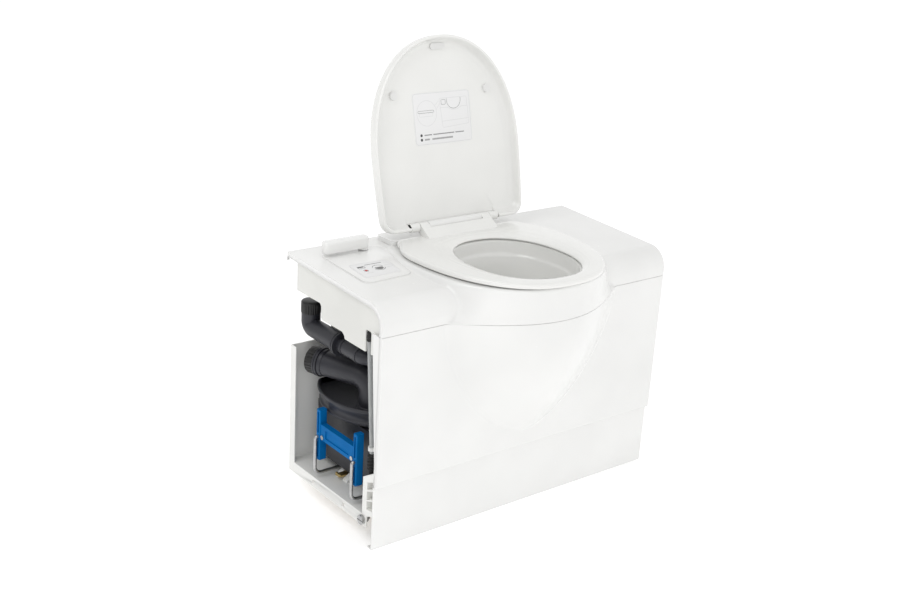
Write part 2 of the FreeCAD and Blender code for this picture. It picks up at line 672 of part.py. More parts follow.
def waste_tank():
    low = soften(box(TANK_X0, TANK_Y0, TANK_Z0, TANK_X1, TANK_Y1, TANK_TOP), 8, upright)
    neck = soften(box(-86, TANK_Y0, TANK_TOP - 1, TANK_X1, TANK_Y1, NECK_TOP), 8, upright)
    tank = low.fuse(neck)
    inner = soften(box(TANK_X0 + 4, TANK_Y0 + 4, TANK_Z0 + 4, TANK_X1 - 4, TANK_Y1 - 4,
                       TANK_TOP - 4), 5, upright)
    inner2 = soften(box(-82, TANK_Y0 + 4, TANK_TOP - 6, TANK_X1 - 4, TANK_Y1 - 4,
                        NECK_TOP - 4), 5, upright)
    tank = tank.cut(inner.fuse(inner2))
    return tank.cut(rod(46, V(OUT_X, OUT_Y, NECK_TOP - 10), V(OUT_X, OUT_Y, NECK_TOP + 1)))


def inlet_seal():
    return pipe(58, 46, V(OUT_X, OUT_Y, NECK_TOP), V(OUT_X, OUT_Y, NECK_TOP + 8))


SHOULDER_SIDE = ((0, 178), (120, 178), (131.5, 186), (131.5, 190.5), (129.5, 192), (130.5, 200),
                 (134, 207), (136, 213), (135.3, 216.4), (133.2, 218), (131.6, 216.8),
                 (130.6, 213), (128, SHOULDER_Z), (0, SHOULDER_Z))


def tank_shoulder():
    side = [V(SHOULDER_X + r, SHOULDER_Y, z) for r, z in SHOULDER_SIDE]
    face = Part.Face(Part.makePolygon(side + side[:1]))
    pan = face.revolve(V(SHOULDER_X, SHOULDER_Y, 0), Z_AXIS, 360)
    pan = pan.fuse(rod(SPOUT_R + 6.5, V(SPOUT_X, SPOUT_Y, 195), V(SPOUT_X, SPOUT_Y, 208.5)))
    pan = pan.cut(box(-340, TANK_Y1 + 0.5, 170, 0, 400, 230)).cut(box(-95, 0, 170, 20, 400, 230))
    pan = pan.cut(rod(SPOUT_R + 1.9, V(SPOUT_X, SPOUT_Y, 196), V(SPOUT_X, SPOUT_Y, 220)))
    return pan.removeSplitter()


def shoulder_disc():
    disc = rod(44, V(-168, 190, SHOULDER_Z), V(-168, 190, 211))
    grip = box(-204, 185, 211, -132, 195, 219)
    return disc.fuse(grip).removeSplitter()


def runner_pads():
    pads = []
    for y in (112.0, 262.0):
        pads.append(box(-262, y, TRAY_FLOOR + 0.4, -120, y + 4, TANK_Z0))
        pads.append(box(-60, y, TRAY_FLOOR + 0.4, 96, y + 4, TANK_Z0))
    return Part.makeCompound(pads)


def rod_guides():
    blocks = []
    for x in (-226.0, -170.0):
        for y in ROD_YS:
            block = box(x, y - 8, TRAY_FLOOR + 1.5, x + 16, y + 8, TANK_Z0)
            blocks.append(block.cut(rod(ROD_R + 0.08, V(x - 1, y, ROD_Z), V(x + 17, y, ROD_Z))))
    return Part.makeCompound(blocks)


def wheel_axle():
    return rod(4, V(139, 84, 70), V(139, 278, 70))


def axle_brackets():
    items = []
    for y in (112.0, 242.0):
        arm = box(TANK_X1, y, TANK_Z0 - 8, 147, y + 8, 92)
        items.append(arm.cut(rod(4, V(139, y - 1, 70), V(139, y + 9, 70))))
    return Part.makeCompound(items)


def wheel(y):
    tyre = rod(17.4, V(139, y, 70), V(139, y + 14, 70))
    tyre = tyre.cut(rod(4 + RUN, V(139, y - 1, 70), V(139, y + 15, 70)))
    return tyre.cut(pipe(13, 7, V(139, y - 1, 70), V(139, y + 3, 70)))


def stowed(shape):
    shape.rotate(V(SPOUT_X, SPOUT_Y, 0), Z_AXIS, SPOUT_TURN)
    return shape


def pour_spout():
    r = SPOUT_R
    bend = 32.0
    ring = Part.makeTorus(bend, r, V(SPOUT_X, SPOUT_Y + bend, SPOUT_Z - bend), X_AXIS)
    corner = box(SPOUT_X - 40, SPOUT_Y - 40, SPOUT_Z - bend, SPOUT_X + 40, SPOUT_Y + bend,
                 SPOUT_Z + 40)
    elbow = ring.common(corner)
    run = rod(r, V(SPOUT_X, SPOUT_Y + bend, SPOUT_Z), V(SPOUT_X, SPOUT_Y + 127, SPOUT_Z))
    drop = rod(r, V(SPOUT_X, SPOUT_Y, 206.4), V(SPOUT_X, SPOUT_Y, SPOUT_Z - bend))
    collar = rod(r + 1.5, V(SPOUT_X, SPOUT_Y, 197), V(SPOUT_X, SPOUT_Y, 206.4))
    shape = run.fuse(elbow).fuse(drop).fuse(collar)
    ring_in = Part.makeTorus(bend, r - 3, V(SPOUT_X, SPOUT_Y + bend, SPOUT_Z - bend), X_AXIS)
    bore = ring_in.common(corner)
    bore = bore.fuse(rod(r - 3, V(SPOUT_X, SPOUT_Y + bend, SPOUT_Z),
                         V(SPOUT_X, SPOUT_Y + 128, SPOUT_Z)))
    bore = bore.fuse(rod(r - 3, V(SPOUT_X, SPOUT_Y, 196), V(SPOUT_X, SPOUT_Y, SPOUT_Z - bend)))
    return stowed(shape.cut(bore).removeSplitter())


def spout_ring():
    return stowed(pipe(28.0, SPOUT_R, V(SPOUT_X, SPOUT_Y + 111, SPOUT_Z),
                       V(SPOUT_X, SPOUT_Y + 120.5, SPOUT_Z)))


def spout_cap():
    y0 = SPOUT_Y + 121.1
    cap = rod(26.5, V(SPOUT_X, y0, SPOUT_Z), V(SPOUT_X, SPOUT_Y + 139.6, SPOUT_Z))
    cap = cap.cut(rod(SPOUT_R + 0.4, V(SPOUT_X, y0 - 1, SPOUT_Z), V(SPOUT_X, y0 + 6.5, SPOUT_Z)))
    for i in range(24):
        a = 2 * math.pi * i / 24
        p = V(SPOUT_X + 26.9 * math.cos(a), y0 - 1, SPOUT_Z + 26.9 * math.sin(a))
        cap = cap.cut(rod(1.2, p, p + V(0, 15, 0)))
    return stowed(cap)


# ---- pull handle and latch ----

def handle_frame():
    posts = []
    for y in ROD_YS:
        post = box(POST_X - 8, y - 6, 91, POST_X + 8, y + 6, 193)
        posts.append(soften(post, 2, upright))
    bar = box(POST_X - 6, ROD_YS[1] + 5, 134, POST_X + 6, ROD_YS[0] - 5, 165)
    frame = posts[0].fuse(posts[1]).fuse(bar)
    for y in ROD_YS:
        frame = frame.cut(rod(ROD_R, V(POST_X - 9, y, 138), V(POST_X + 4, y, 138)))
        frame = frame.cut(box(POST_X - 10, y - 2.4, 146, POST_X - 5, y + 2.4, 188))
        frame = frame.cut(box(POST_X - 10, y - 2.4, 96, POST_X - 5, y + 2.4, 128))
    for y in (ROD_YS[0] - 12, ROD_YS[1] + 12):
        frame = frame.cut(rod(2.5, V(POST_X - 7, y, 140), V(POST_X - 2, y, 140)))
    frame = frame.cut(box(POST_X - 7, ROD_YS[1] + 22, 141, POST_X - 4, ROD_YS[0] - 22, 158))
    return frame.removeSplitter()


def pull_rod(y):
    bend = 14.0
    up = rod(ROD_R, V(HOOK_X, y, ROD_Z + bend), V(HOOK_X, y, 138))
    knee = Part.makeSphere(ROD_R, V(HOOK_X, y, 138))
    hook = rod(ROD_R, V(HOOK_X, y, 138), V(POST_X + 4, y, 138))
    ring = Part.makeTorus(bend, ROD_R, V(HOOK_X + bend, y, ROD_Z + bend), Y_AXIS)
    corner = box(HOOK_X - 10, y - 10, ROD_Z - 10, HOOK_X + bend, y + 10, ROD_Z + bend)
    along = rod(ROD_R, V(HOOK_X + bend, y, ROD_Z), V(60, y, ROD_Z))
    return up.fuse(knee).fuse(hook).fuse(ring.common(corner)).fuse(along).removeSplitter()


def handle_rivets():
    items = []
    for y in (ROD_YS[0] - 12, ROD_YS[1] + 12):
        pin = rod(2.5, V(POST_X - 6, y, 140), V(POST_X - 2, y, 140))
        items.append(pin.fuse(rod(4.2, V(POST_X - 7.6, y, 140), V(POST_X - 6, y, 140))))
    return Part.makeCompound(items)


def latch_wedge():
    side = [(-292, 52), (-256, 52), (-256, 65), (-276, 65), (-292, 56)]
    face = Part.Face(Part.makePolygon([V(x, 160, z) for x, z in side + side[:1]]))
    wedge = face.extrude(V(0, 39, 0))
    return wedge.cut(box(-300, 174, 53, -262, 190, 70))


def latch_lever():
    bar = box(-300, 175, 59, -264, 189, 62)
    nose = box(-300, 175, 62, -296, 189, 65)
    hub = rod(3, V(-267, 175, 60.5), V(-267, 189, 60.5))
    lever = bar.fuse(nose).fuse(hub)
    lever = lever.cut(rod(1.5 + RUN, V(-267, 170, 60.5), V(-267, 194, 60.5)))
    return lever.removeSplitter()


def latch_pin():
    return rod(1.5, V(-267, 170, 60.5), V(-267, 194, 60.5))


def latch_block():
    return latch_wedge().cut(rod(1.5, V(-267, 170, 60.5), V(-267, 194, 60.5)))


NODES = [
    ("top_moulding", top_moulding), ("front_panel", front_panel), ("kickboard", kickboard),
    ("end_panel", end_panel), ("rear_frame", rear_frame), ("bay_tray", bay_tray),
    ("tray_bearers", tray_bearers), ("front_post", front_post), ("tray_bolt", tray_bolt),
    ("bowl", bowl), ("bowl_seal", bowl_seal), ("valve_housing", valve_housing),
    ("slide_blade", slide_blade), ("hinge_block", hinge_block), ("hinge_pin", hinge_pin),
    ("seat_ring", seat_ring), ("seat_buffers", seat_buffers), ("lid_shell", lid_shell),
    ("lid_oval_bumper", lid_oval_bumper), ("lid_label", lid_label),
    ("control_plate", control_plate), ("panel_label", panel_label), ("level_lamp", level_lamp),
    ("flush_button", flush_button), ("control_box", control_box), ("blade_lever", blade_lever),
    ("lever_spindle", lever_spindle), ("fill_elbow", fill_elbow), ("fill_pipe", fill_pipe),
    ("fill_cap", fill_cap), ("flush_tank", flush_tank), ("flush_pump", flush_pump),
    ("flush_hose", flush_hose), ("flush_nozzle", flush_nozzle),
    ("level_tube", level_tube), ("tube_top_plug", tube_top_plug),
    ("drain_bellows", drain_bellows), ("tube_clip", tube_clip), ("waste_tank", waste_tank),
    ("inlet_seal", inlet_seal), ("tank_shoulder", tank_shoulder),
    ("shoulder_disc", shoulder_disc), ("runner_pads", runner_pads), ("rod_guides", rod_guides),
    ("wheel_axle", wheel_axle), ("axle_brackets", axle_brackets), ("pour_spout", pour_spout),
    ("spout_ring", spout_ring), ("spout_cap", spout_cap), ("handle_frame", handle_frame),
    ("handle_rivets", handle_rivets), ("latch_block", latch_block), ("latch_pin", latch_pin),
    ("latch_lever", latch_lever),
]

for node_name, make in NODES:
    save(node_name, make())
save("lid_bumper_left", lid_bumper(-112, 0))
save("lid_bumper_right", lid_bumper(112, 0))
save("wheel_front", wheel(88.0))
save("wheel_rear", wheel(260.0))
save("pull_rod_rear", pull_rod(ROD_YS[0]))
save("pull_rod_front", pull_rod(ROD_YS[1]))
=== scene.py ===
import bpy
import bmesh
import json
import math
import numpy as np
from mathutils import Matrix, Vector


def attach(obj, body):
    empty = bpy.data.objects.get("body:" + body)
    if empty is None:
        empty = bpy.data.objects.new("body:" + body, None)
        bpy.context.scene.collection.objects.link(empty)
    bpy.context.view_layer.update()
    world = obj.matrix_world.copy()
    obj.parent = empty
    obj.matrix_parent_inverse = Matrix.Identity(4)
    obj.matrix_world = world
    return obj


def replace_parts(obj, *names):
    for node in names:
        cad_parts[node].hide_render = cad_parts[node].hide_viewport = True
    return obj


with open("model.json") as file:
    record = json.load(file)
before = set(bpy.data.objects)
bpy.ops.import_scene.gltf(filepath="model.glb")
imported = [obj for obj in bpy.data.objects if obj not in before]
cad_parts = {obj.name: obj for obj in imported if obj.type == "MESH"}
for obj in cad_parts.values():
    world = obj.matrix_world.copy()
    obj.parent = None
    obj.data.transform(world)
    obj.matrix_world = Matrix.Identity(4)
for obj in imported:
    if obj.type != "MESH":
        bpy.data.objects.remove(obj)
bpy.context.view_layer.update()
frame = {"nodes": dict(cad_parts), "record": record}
nodes = frame["nodes"]
MM = 0.001


# ---------------------------------------------------------------- materials

def new_material(name):
    m = bpy.data.materials.new(name)
    m.use_nodes = True
    t = m.node_tree
    bsdf = t.nodes["Principled BSDF"]
    return m, t, bsdf


def coords(t, scale):
    tc = t.nodes.new("ShaderNodeTexCoord")
    mp = t.nodes.new("ShaderNodeMapping")
    mp.inputs["Scale"].default_value = scale
    t.links.new(tc.outputs["Object"], mp.inputs["Vector"])
    return mp.outputs["Vector"]


def noise(t, vec, scale, detail=3.0, rough=0.5):
    n = t.nodes.new("ShaderNodeTexNoise")
    n.inputs["Scale"].default_value = scale
    n.inputs["Detail"].default_value = detail
    n.inputs["Roughness"].default_value = rough
    t.links.new(vec, n.inputs["Vector"])
    return n.outputs["Fac"]


def ramp(t, fac, stops):
    r = t.nodes.new("ShaderNodeValToRGB")
    e = r.color_ramp.elements
    e[0].position, e[0].color = stops[0][0], stops[0][1]
    e[1].position, e[1].color = stops[-1][0], stops[-1][1]
    for pos, col in stops[1:-1]:
        k = e.new(pos)
        k.color = col
    t.links.new(fac, r.inputs["Fac"])
    return r.outputs["Color"]


def spread(t, fac, lo, hi):
    m = t.nodes.new("ShaderNodeMapRange")
    m.inputs["To Min"].default_value = lo
    m.inputs["To Max"].default_value = hi
    t.links.new(fac, m.inputs["Value"])
    return m.outputs["Result"]


def bump(t, bsdf, height, strength, dist):
    b = t.nodes.new("ShaderNodeBump")
    b.inputs["Strength"].default_value = strength
    b.inputs["Distance"].default_value = dist
    t.links.new(height, b.inputs["Height"])
    t.links.new(b.outputs["Normal"], bsdf.inputs["Normal"])
    return b


def grey(v, tint=(1.0, 1.0, 1.0)):
    return (v * tint[0], v * tint[1], v * tint[2], 1.0)


def plastic(name, lo, hi, r_lo, r_hi, grain=0.0, grain_scale=900.0, coat=0.0, spec=0.5,
            broad=7.0):
    # moulded plastic: slow tone drift, uneven sheen, fine surface grain
    m, t, b = new_material(name)
    v = coords(t, (1.0, 1.0, 1.0))
    slow = noise(t, v, broad, 2.0)
    t.links.new(ramp(t, slow, [(0.3, lo), (0.7, hi)]), b.inputs["Base Color"])
    mid = noise(t, v, 60.0, 4.0, 0.6)
    t.links.new(spread(t, mid, r_lo, r_hi), b.inputs["Roughness"])
    b.inputs["Specular IOR Level"].default_value = spec
    b.inputs["Coat Weight"].default_value = coat
    b.inputs["Coat Roughness"].default_value = 0.08
    if grain > 0.0:
        bump(t, b, noise(t, v, grain_scale, 3.0, 0.6), grain, 0.0004)
    return m


WHITE = (1.0, 1.0, 0.985)      # tints of the white mouldings, coolest first
SEAT_TINT = (1, 1, 0.975)
TRAY_TINT = (1, 1, 0.97)
SKIRT_TINT = (1, 1, 0.96)
DARK_TINT = (0.90, 0.93, 1.2)
M = {}
M["gloss_white"] = plastic("gloss_white", grey(0.80, WHITE), grey(0.84, WHITE), 0.20, 0.30,
                           grain=0.03, grain_scale=420.0, coat=0.25)
M["seat_white"] = plastic("seat_white", grey(0.80, SEAT_TINT), grey(0.84, SEAT_TINT),
                          0.16, 0.26, grain=0.02, grain_scale=300.0, coat=0.35)
M["satin_white"] = plastic("satin_white", grey(0.72, SKIRT_TINT), grey(0.78, SKIRT_TINT),
                           0.42, 0.58, grain=0.12, grain_scale=1400.0)
M["label_white"] = plastic("label_white", grey(0.78), grey(0.80), 0.35, 0.42, grain=0.02)
M["soft_white"] = plastic("soft_white", grey(0.74, WHITE), grey(0.78, WHITE), 0.5, 0.62,
                          grain=0.06)
M["charcoal"] = plastic("charcoal", grey(0.020, DARK_TINT),
                        grey(0.029, DARK_TINT), 0.36, 0.52, grain=0.22,
                        grain_scale=1700.0, broad=14.0)
M["black_plastic"] = plastic("black_plastic", grey(0.006), grey(0.010), 0.34, 0.5, grain=0.12,
                             grain_scale=1500.0)
M["black_rubber"] = plastic("black_rubber", grey(0.007), grey(0.012), 0.6, 0.75, grain=0.3,
                            grain_scale=1200.0)
M["grey_plastic"] = plastic("grey_plastic", grey(0.12), grey(0.15), 0.4, 0.5, grain=0.1)
M["blue_plastic"] = plastic("blue_plastic", (0.0, 0.120, 0.360, 1), (0.0, 0.145, 0.430, 1),
                            0.50, 0.62, spec=0.08, grain=0.10, grain_scale=1300.0, broad=20.0)
M["red_lamp"] = plastic("red_lamp", (0.45, 0.01, 0.012, 1), (0.55, 0.015, 0.015, 1), 0.2, 0.3)
# brighter than satin_white: painted light, the extra brightness stands in for light that the
# shaded bay's walls and floor do not get
M["tray_white_painted_light"] = plastic("tray_white_painted_light", grey(0.84, TRAY_TINT), grey(0.88, TRAY_TINT),
                          0.34, 0.46, grain=0.06, grain_scale=1400.0)
M["bowl_white"] = plastic("bowl_white", grey(0.76, SEAT_TINT), grey(0.80, SEAT_TINT),
                          0.14, 0.24, grain=0.02, grain_scale=300.0, coat=0.3)
M["lid_sticker"] = plastic("lid_sticker", grey(0.81), grey(0.83), 0.38, 0.46, grain=0.02)
M["print_mid"] = plastic("print_mid", grey(0.26), grey(0.32), 0.4, 0.5)
M["print_pale"] = plastic("print_pale", grey(0.64), grey(0.69), 0.4, 0.5)
M["print_dark"] = plastic("print_dark", grey(0.05), grey(0.07), 0.45, 0.5)
M["print_grey"] = plastic("print_grey", grey(0.34), grey(0.40), 0.4, 0.5)


def metal(name, lo, hi, r_lo, r_hi, stretch):
    # drawn or turned metal: fine streaks along its length
    m, t, b = new_material(name)
    b.inputs["Metallic"].default_value = 1.0
    v = coords(t, stretch)
    streak = noise(t, v, 90.0, 5.0, 0.65)
    t.links.new(ramp(t, streak, [(0.35, lo), (0.65, hi)]), b.inputs["Base Color"])
    t.links.new(spread(t, streak, r_lo, r_hi), b.inputs["Roughness"])
    bump(t, b, streak, 0.08, 0.0003)
    return m


M["steel"] = metal("steel", grey(0.42), grey(0.56), 0.24, 0.42, (0.15, 1.0, 1.0))
M["brass"] = metal("brass", (0.50, 0.36, 0.13, 1), (0.66, 0.50, 0.22, 1), 0.3, 0.48,
                   (0.2, 1.0, 1.0))


def wood(name):
    m, t, b = new_material(name)
    v = coords(t, (0.35, 6.0, 1.2))
    rings = t.nodes.new("ShaderNodeTexWave")
    rings.inputs["Scale"].default_value = 9.0
    rings.inputs["Distortion"].default_value = 3.5
    rings.inputs["Detail"].default_value = 3.0
    t.links.new(v, rings.inputs["Vector"])
    t.links.new(ramp(t, rings.outputs["Fac"], [(0.2, (0.46, 0.33, 0.19, 1)),
                                               (0.6, (0.55, 0.42, 0.26, 1)),
                                               (0.95, (0.40, 0.27, 0.15, 1))]),
                b.inputs["Base Color"])
    b.inputs["Roughness"].default_value = 0.62
    bump(t, b, rings.outputs["Fac"], 0.12, 0.0005)
    return m


M["timber"] = wood("timber")


def clear(name):
    m, t, b = new_material(name)
    v = coords(t, (1.0, 1.0, 1.0))
    n = noise(t, v, 40.0, 2.0)
    t.links.new(ramp(t, n, [(0.3, (0.70, 0.72, 0.72, 1)), (0.7, (0.80, 0.82, 0.81, 1))]),
                b.inputs["Base Color"])
    b.inputs["Roughness"].default_value = 0.18
    b.inputs["Transmission Weight"].default_value = 0.55
    b.inputs["IOR"].default_value = 1.38
    return m


M["clear_plastic"] = clear("clear_plastic")


def floor_material():
    m, t, b = new_material("floor_paper")
    v = coords(t, (1.0, 1.0, 1.0))
    n = noise(t, v, 1.5, 2.0)
    t.links.new(ramp(t, n, [(0.3, grey(0.93)), (0.7, grey(0.95))]), b.inputs["Base Color"])
    b.inputs["Roughness"].default_value = 0.85
    b.inputs["Specular IOR Level"].default_value = 0.1
    b.inputs["Emission Color"].default_value = (1.0, 1.0, 1.0, 1.0)
    b.inputs["Emission Strength"].default_value = 0.30
    return m


# ---------------------------------------------------------------- mesh helpers

DATUM_Y = 0.015     # the drawings below count y from the front panel's outer face


def quarter(seg):
    # the steps of a quarter turn after its start
    return [math.pi / 2 * k / seg for k in range(1, seg + 1)]


def finish_mesh(name, verts, faces, mat, body, sharp=None, smooth=True):
    me = bpy.data.meshes.new(name)
    me.from_pydata([(v[0], v[1] - DATUM_Y, v[2]) for v in verts], [], faces)
    me.validate()
    bm = bmesh.new()
    bm.from_mesh(me)
    bmesh.ops.recalc_face_normals(bm, faces=bm.faces)
    bm.to_mesh(me)
    bm.free()
    if smooth:
        me.shade_smooth()
        if sharp:
            me.set_sharp_from_angle(angle=math.radians(sharp))
    me.materials.append(M[mat])
    o = bpy.data.objects.new(name, me)
    bpy.context.scene.collection.objects.link(o)
    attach(o, body)
    return o


def loops_mesh(loops, close_a=False, close_b=False):
    # skin over closed loops of equal length, with flat ends where asked
    n = len(loops[0])
    verts = [p for lp in loops for p in lp]
    faces = []
    for k in range(len(loops) - 1):
        for i in range(n):
            j = (i + 1) % n
            faces.append((k * n + i, k * n + j, (k + 1) * n + j, (k + 1) * n + i))
    if close_a:
        faces.append(tuple(range(n))[::-1])
    if close_b:
        faces.append(tuple(range((len(loops) - 1) * n, len(loops) * n)))
    return verts, faces


def rounded_poly(points, radii, seg=6):
    # polygon corners replaced by tangent arcs
    out = []
    n = len(points)
    for i in range(n):
        p = Vector(points[i])
        a = Vector(points[i - 1]) - p
        b = Vector(points[(i + 1) % n]) - p
        r = radii[i] if isinstance(radii, (list, tuple)) else radii
        half = a.angle(b) / 2
        if r <= 0 or half > math.radians(89):
            out.append(tuple(p))
            continue
        d = min(r / math.tan(half), a.length * 0.49, b.length * 0.49)
        rr = d * math.tan(half)
        bis = (a.normalized() + b.normalized()).normalized()
        c = p + bis * (rr / math.sin(half))
        s = p + a.normalized() * d - c
        e = p + b.normalized() * d - c
        a0 = math.atan2(s.y, s.x)
        a1 = math.atan2(e.y, e.x)
        da = (a1 - a0 + math.pi) % (2 * math.pi) - math.pi
        for k in range(seg + 1):
            t = a0 + da * k / seg
            out.append((c.x + rr * math.cos(t), c.y + rr * math.sin(t)))
    return out


def slab(name, outline, z0, z1, bevel, mat, body, place=None):
    # outline in mm raised from z0 to z1, top edge rolled over by bevel
    pts = np.array(outline, float)
    n = len(pts)
    prev = np.roll(pts, 1, 0)
    nxt = np.roll(pts, -1, 0)
    tan = nxt - prev
    nor = np.stack([tan[:, 1], -tan[:, 0]], 1)
    nor /= np.maximum(np.linalg.norm(nor, axis=1)[:, None], 1e-9)
    area = 0.5 * np.sum(pts[:, 0] * nxt[:, 1] - nxt[:, 0] * pts[:, 1])
    if area < 0:
        nor = -nor
    loops = [[(x, y, z0) for x, y in pts]]
    for a in [0.0] + quarter(3):
        z = z1 - bevel * (1 - math.sin(a))
        loops.append([(x, y, z) for x, y in pts - nor * bevel * (1 - math.cos(a))])
    v, f = loops_mesh(loops, True, True)
    if place is None:
        v = [(x * MM, y * MM, z * MM) for x, y, z in v]
    else:
        v = [tuple(place(Vector(p)) * MM) for p in v]
    return finish_mesh(name, v, f, mat, body, 40)


def lathe(name, profile, origin, axis, mat, body, n=64, ridge=None):
    # profile: (radius, height) pairs along axis; ridge(angle, i) scales a radius
    ax = Vector(axis).normalized()
    u = ax.orthogonal().normalized()
    w = ax.cross(u)
    o = Vector(origin)
    loops = []
    for i, (r, h) in enumerate(profile):
        lp = []
        for k in range(n):
            a = 2 * math.pi * k / n
            rr = r * (ridge(a, i) if ridge else 1.0)
            p = o + ax * h + u * (rr * math.cos(a)) + w * (rr * math.sin(a))
            lp.append(tuple(p * MM))
        loops.append(lp)
    v, f = loops_mesh(loops, profile[0][0] > 0.01, profile[-1][0] > 0.01)
    return finish_mesh(name, v, f, mat, body, 35)


def weld(o, distance):
    o.modifiers.new("weld", "WELD").merge_threshold = distance


def tube(name, path, radius, mat, body, bend=8.0, n=28, steps=10):
    # round bar or pipe along straight runs joined by tangent arcs, mm
    pts = [Vector(p) for p in path]
    line = [pts[0]]
    for i in range(1, len(pts) - 1):
        a = (pts[i - 1] - pts[i])
        b = (pts[i + 1] - pts[i])
        half = a.angle(b) / 2
        turn = bend[i - 1] if isinstance(bend, (list, tuple)) else bend
        d = min(turn / math.tan(half), a.length * 0.49, b.length * 0.49)
        r = d * math.tan(half)
        bis = (a.normalized() + b.normalized()).normalized()
        c = pts[i] + bis * (r / math.sin(half))
        s = pts[i] + a.normalized() * d - c
        e = pts[i] + b.normalized() * d - c
        ang = s.angle(e)
        nrm = s.cross(e).normalized()
        for k in range(steps + 1):
            line.append(c + Matrix.Rotation(ang * k / steps, 3, nrm) @ s)
    line.append(pts[-1])
    t0 = (line[1] - line[0]).normalized()
    u = t0.orthogonal().normalized()
    loops = []
    for i, p in enumerate(line):
        if i == 0:
            t = t0
        elif i == len(line) - 1:
            t = (line[i] - line[i - 1]).normalized()
        else:
            before = (line[i] - line[i - 1]).normalized()
            after = (line[i + 1] - line[i]).normalized()
            t = (before + after).normalized()
        u = (u - t * u.dot(t)).normalized()
        w = t.cross(u)
        loops.append([tuple((p + u * (radius * math.cos(2 * math.pi * k / n))
                             + w * (radius * math.sin(2 * math.pi * k / n))) * MM)
                      for k in range(n)])
    v, f = loops_mesh(loops, True, True)
    return finish_mesh(name, v, f, mat, body, 50)


# ---------------------------------------------------------------- body shell

DEPTH = 306.0               # sizes in mm
HALF = 340.0
BACK_Z = 475.0              # top sheet at the back edge
TILT = math.radians(2.56)   # fall of the top sheet towards the front
NOSE = 42.0                 # radius of the rounded front edge
PLAT = 474.0                # flat platform under the seat
PLAT_HALF = 188.0
WIDE_Y = 120.0              # where the platform is widest
SEAM = 409.0                # between the top moulding and the front panel
PANEL_LOW = 125.0
BULGE_DROP = 252.0          # the bowl's bulge: height, half width and stand-out
BULGE_HALF = 208.0
BULGE_OUT = 90.0
ROLL = 1.4                  # rounding of the shell's outer borders
SEAM_ROLL = 0.8
EDGE_SEG = 4


def top_z(y):
    return BACK_Z - math.tan(TILT) * (DEPTH - y)


def on_top(p):
    # from a flat drawing at z = 0 to the sloping top sheet
    c, s = math.cos(TILT), math.sin(TILT)
    y = p.y - DEPTH
    return Vector((p.x, DEPTH + y * c - p.z * s, BACK_Z + y * s + p.z * c))


def plat_front(x):
    # front edge line of the flat seat platform, y at half width |x|
    a = np.abs(x)
    k = np.clip(a / PLAT_HALF, 0, 1)
    y = WIDE_Y - 210.0 * (1 - k ** 2.3) ** (1 / 2.3)
    return np.where(a > PLAT_HALF, WIDE_Y + 6.0 * (a - PLAT_HALF), y)


def plat_half(y):
    # half width of the platform at y, tapering towards the back
    k = np.clip((y - WIDE_Y) / 153.0, 0, 1.2)
    return PLAT_HALF - 46.0 * k ** 2


def bulge_depth(x, z):
    # how far the bulge stands out of the front panel
    s = np.clip((SEAM - z) / BULGE_DROP, 0.0, 1.0)
    w = np.maximum(BULGE_HALF * (1 - s ** 1.6) ** 0.60, 1e-3)
    d = BULGE_OUT * (1 - s ** 1.9) ** 0.95
    k = np.clip(1 - (np.abs(x) / w) ** 2, 0, 1)
    return d * k ** 1.2


def face_y(x, z):
    # front surface of the bowl body at height z above the seam
    k = np.clip((z - SEAM) / (PLAT - SEAM), 0, 1)
    return (1 - k) * (-bulge_depth(x, np.full_like(x, SEAM))) + k * plat_front(x)


def smooth_step(t):
    t = np.clip(t, 0, 1)
    return t * t * (3 - 2 * t)


def top_rows(xs, y_nose):
    # the top sheet with the bowl body rising from it, from the back to the nose
    rows = []
    front = plat_front(xs)
    lip = bulge_depth(xs, np.full_like(xs, SEAM))
    for y in np.linspace(DEPTH, y_nose, 150)[:-1]:
        sheet = top_z(y)
        k = np.clip((y + lip) / np.maximum(front + lip, 1e-3), 0, 1)
        k = np.where(front <= y, 1.0, k)
        k = np.where(np.abs(xs) > PLAT_HALF, 0.0, k)
        rise = np.maximum(SEAM + (PLAT - SEAM) * k - sheet, 0.0)
        if y > WIDE_Y:
            side = smooth_step((plat_half(y) - np.abs(xs)) / 7.0 + 0.5)
            rise = (PLAT - sheet) * side if PLAT > sheet else np.zeros_like(xs)
            rise = rise * smooth_step((303.0 - y) / 7.0)
        rows.append(np.stack([xs, np.full_like(xs, y), sheet + rise], 1))
    return rows


def nose_rows(xs, z_nose):
    # round the nose, each ray from its centre line reaching out to the bowl body
    rows = []
    reach = np.arange(NOSE, 150.0, 0.3)
    X, R = np.meshgrid(xs, reach, indexing="ij")
    for ph in np.linspace(math.pi / 2 - TILT, 0.0, 104)[:-1]:
        Y = NOSE - R * math.cos(ph)
        Z = z_nose + R * math.sin(ph)
        inside = (Z <= PLAT) & (Y >= face_y(X, Z)) & (np.abs(X) < PLAT_HALF + 18.0)
        inside[:, 0] = True
        out = np.argmax(~inside, axis=1)
        out = np.where(out == 0, len(reach) - 1, out - 1)
        r = reach[out]
        rows.append(np.stack([xs, NOSE - r * math.cos(ph), z_nose + r * math.sin(ph)], 1))
    return rows


def shell_grid():
    # rows of points from the back edge over the nose and down to the kickboard
    y_nose = NOSE - NOSE * math.sin(TILT)
    z_nose = top_z(y_nose) - NOSE * math.cos(TILT)
    xs = np.linspace(-HALF, HALF, 361)
    rows = top_rows(xs, y_nose) + nose_rows(xs, z_nose)
    above = np.linspace(z_nose, SEAM + 0.2, 9)
    below = np.linspace(SEAM - 0.4, PANEL_LOW, 190)
    split = len(rows) + len(above)
    for z in np.concatenate([above, below]):
        level = np.full_like(xs, z)
        y = np.minimum(0.0, face_y(xs, level)) if z > SEAM else -bulge_depth(xs, level)
        rows.append(np.stack([xs, y, level], 1))
    return np.array(rows), split


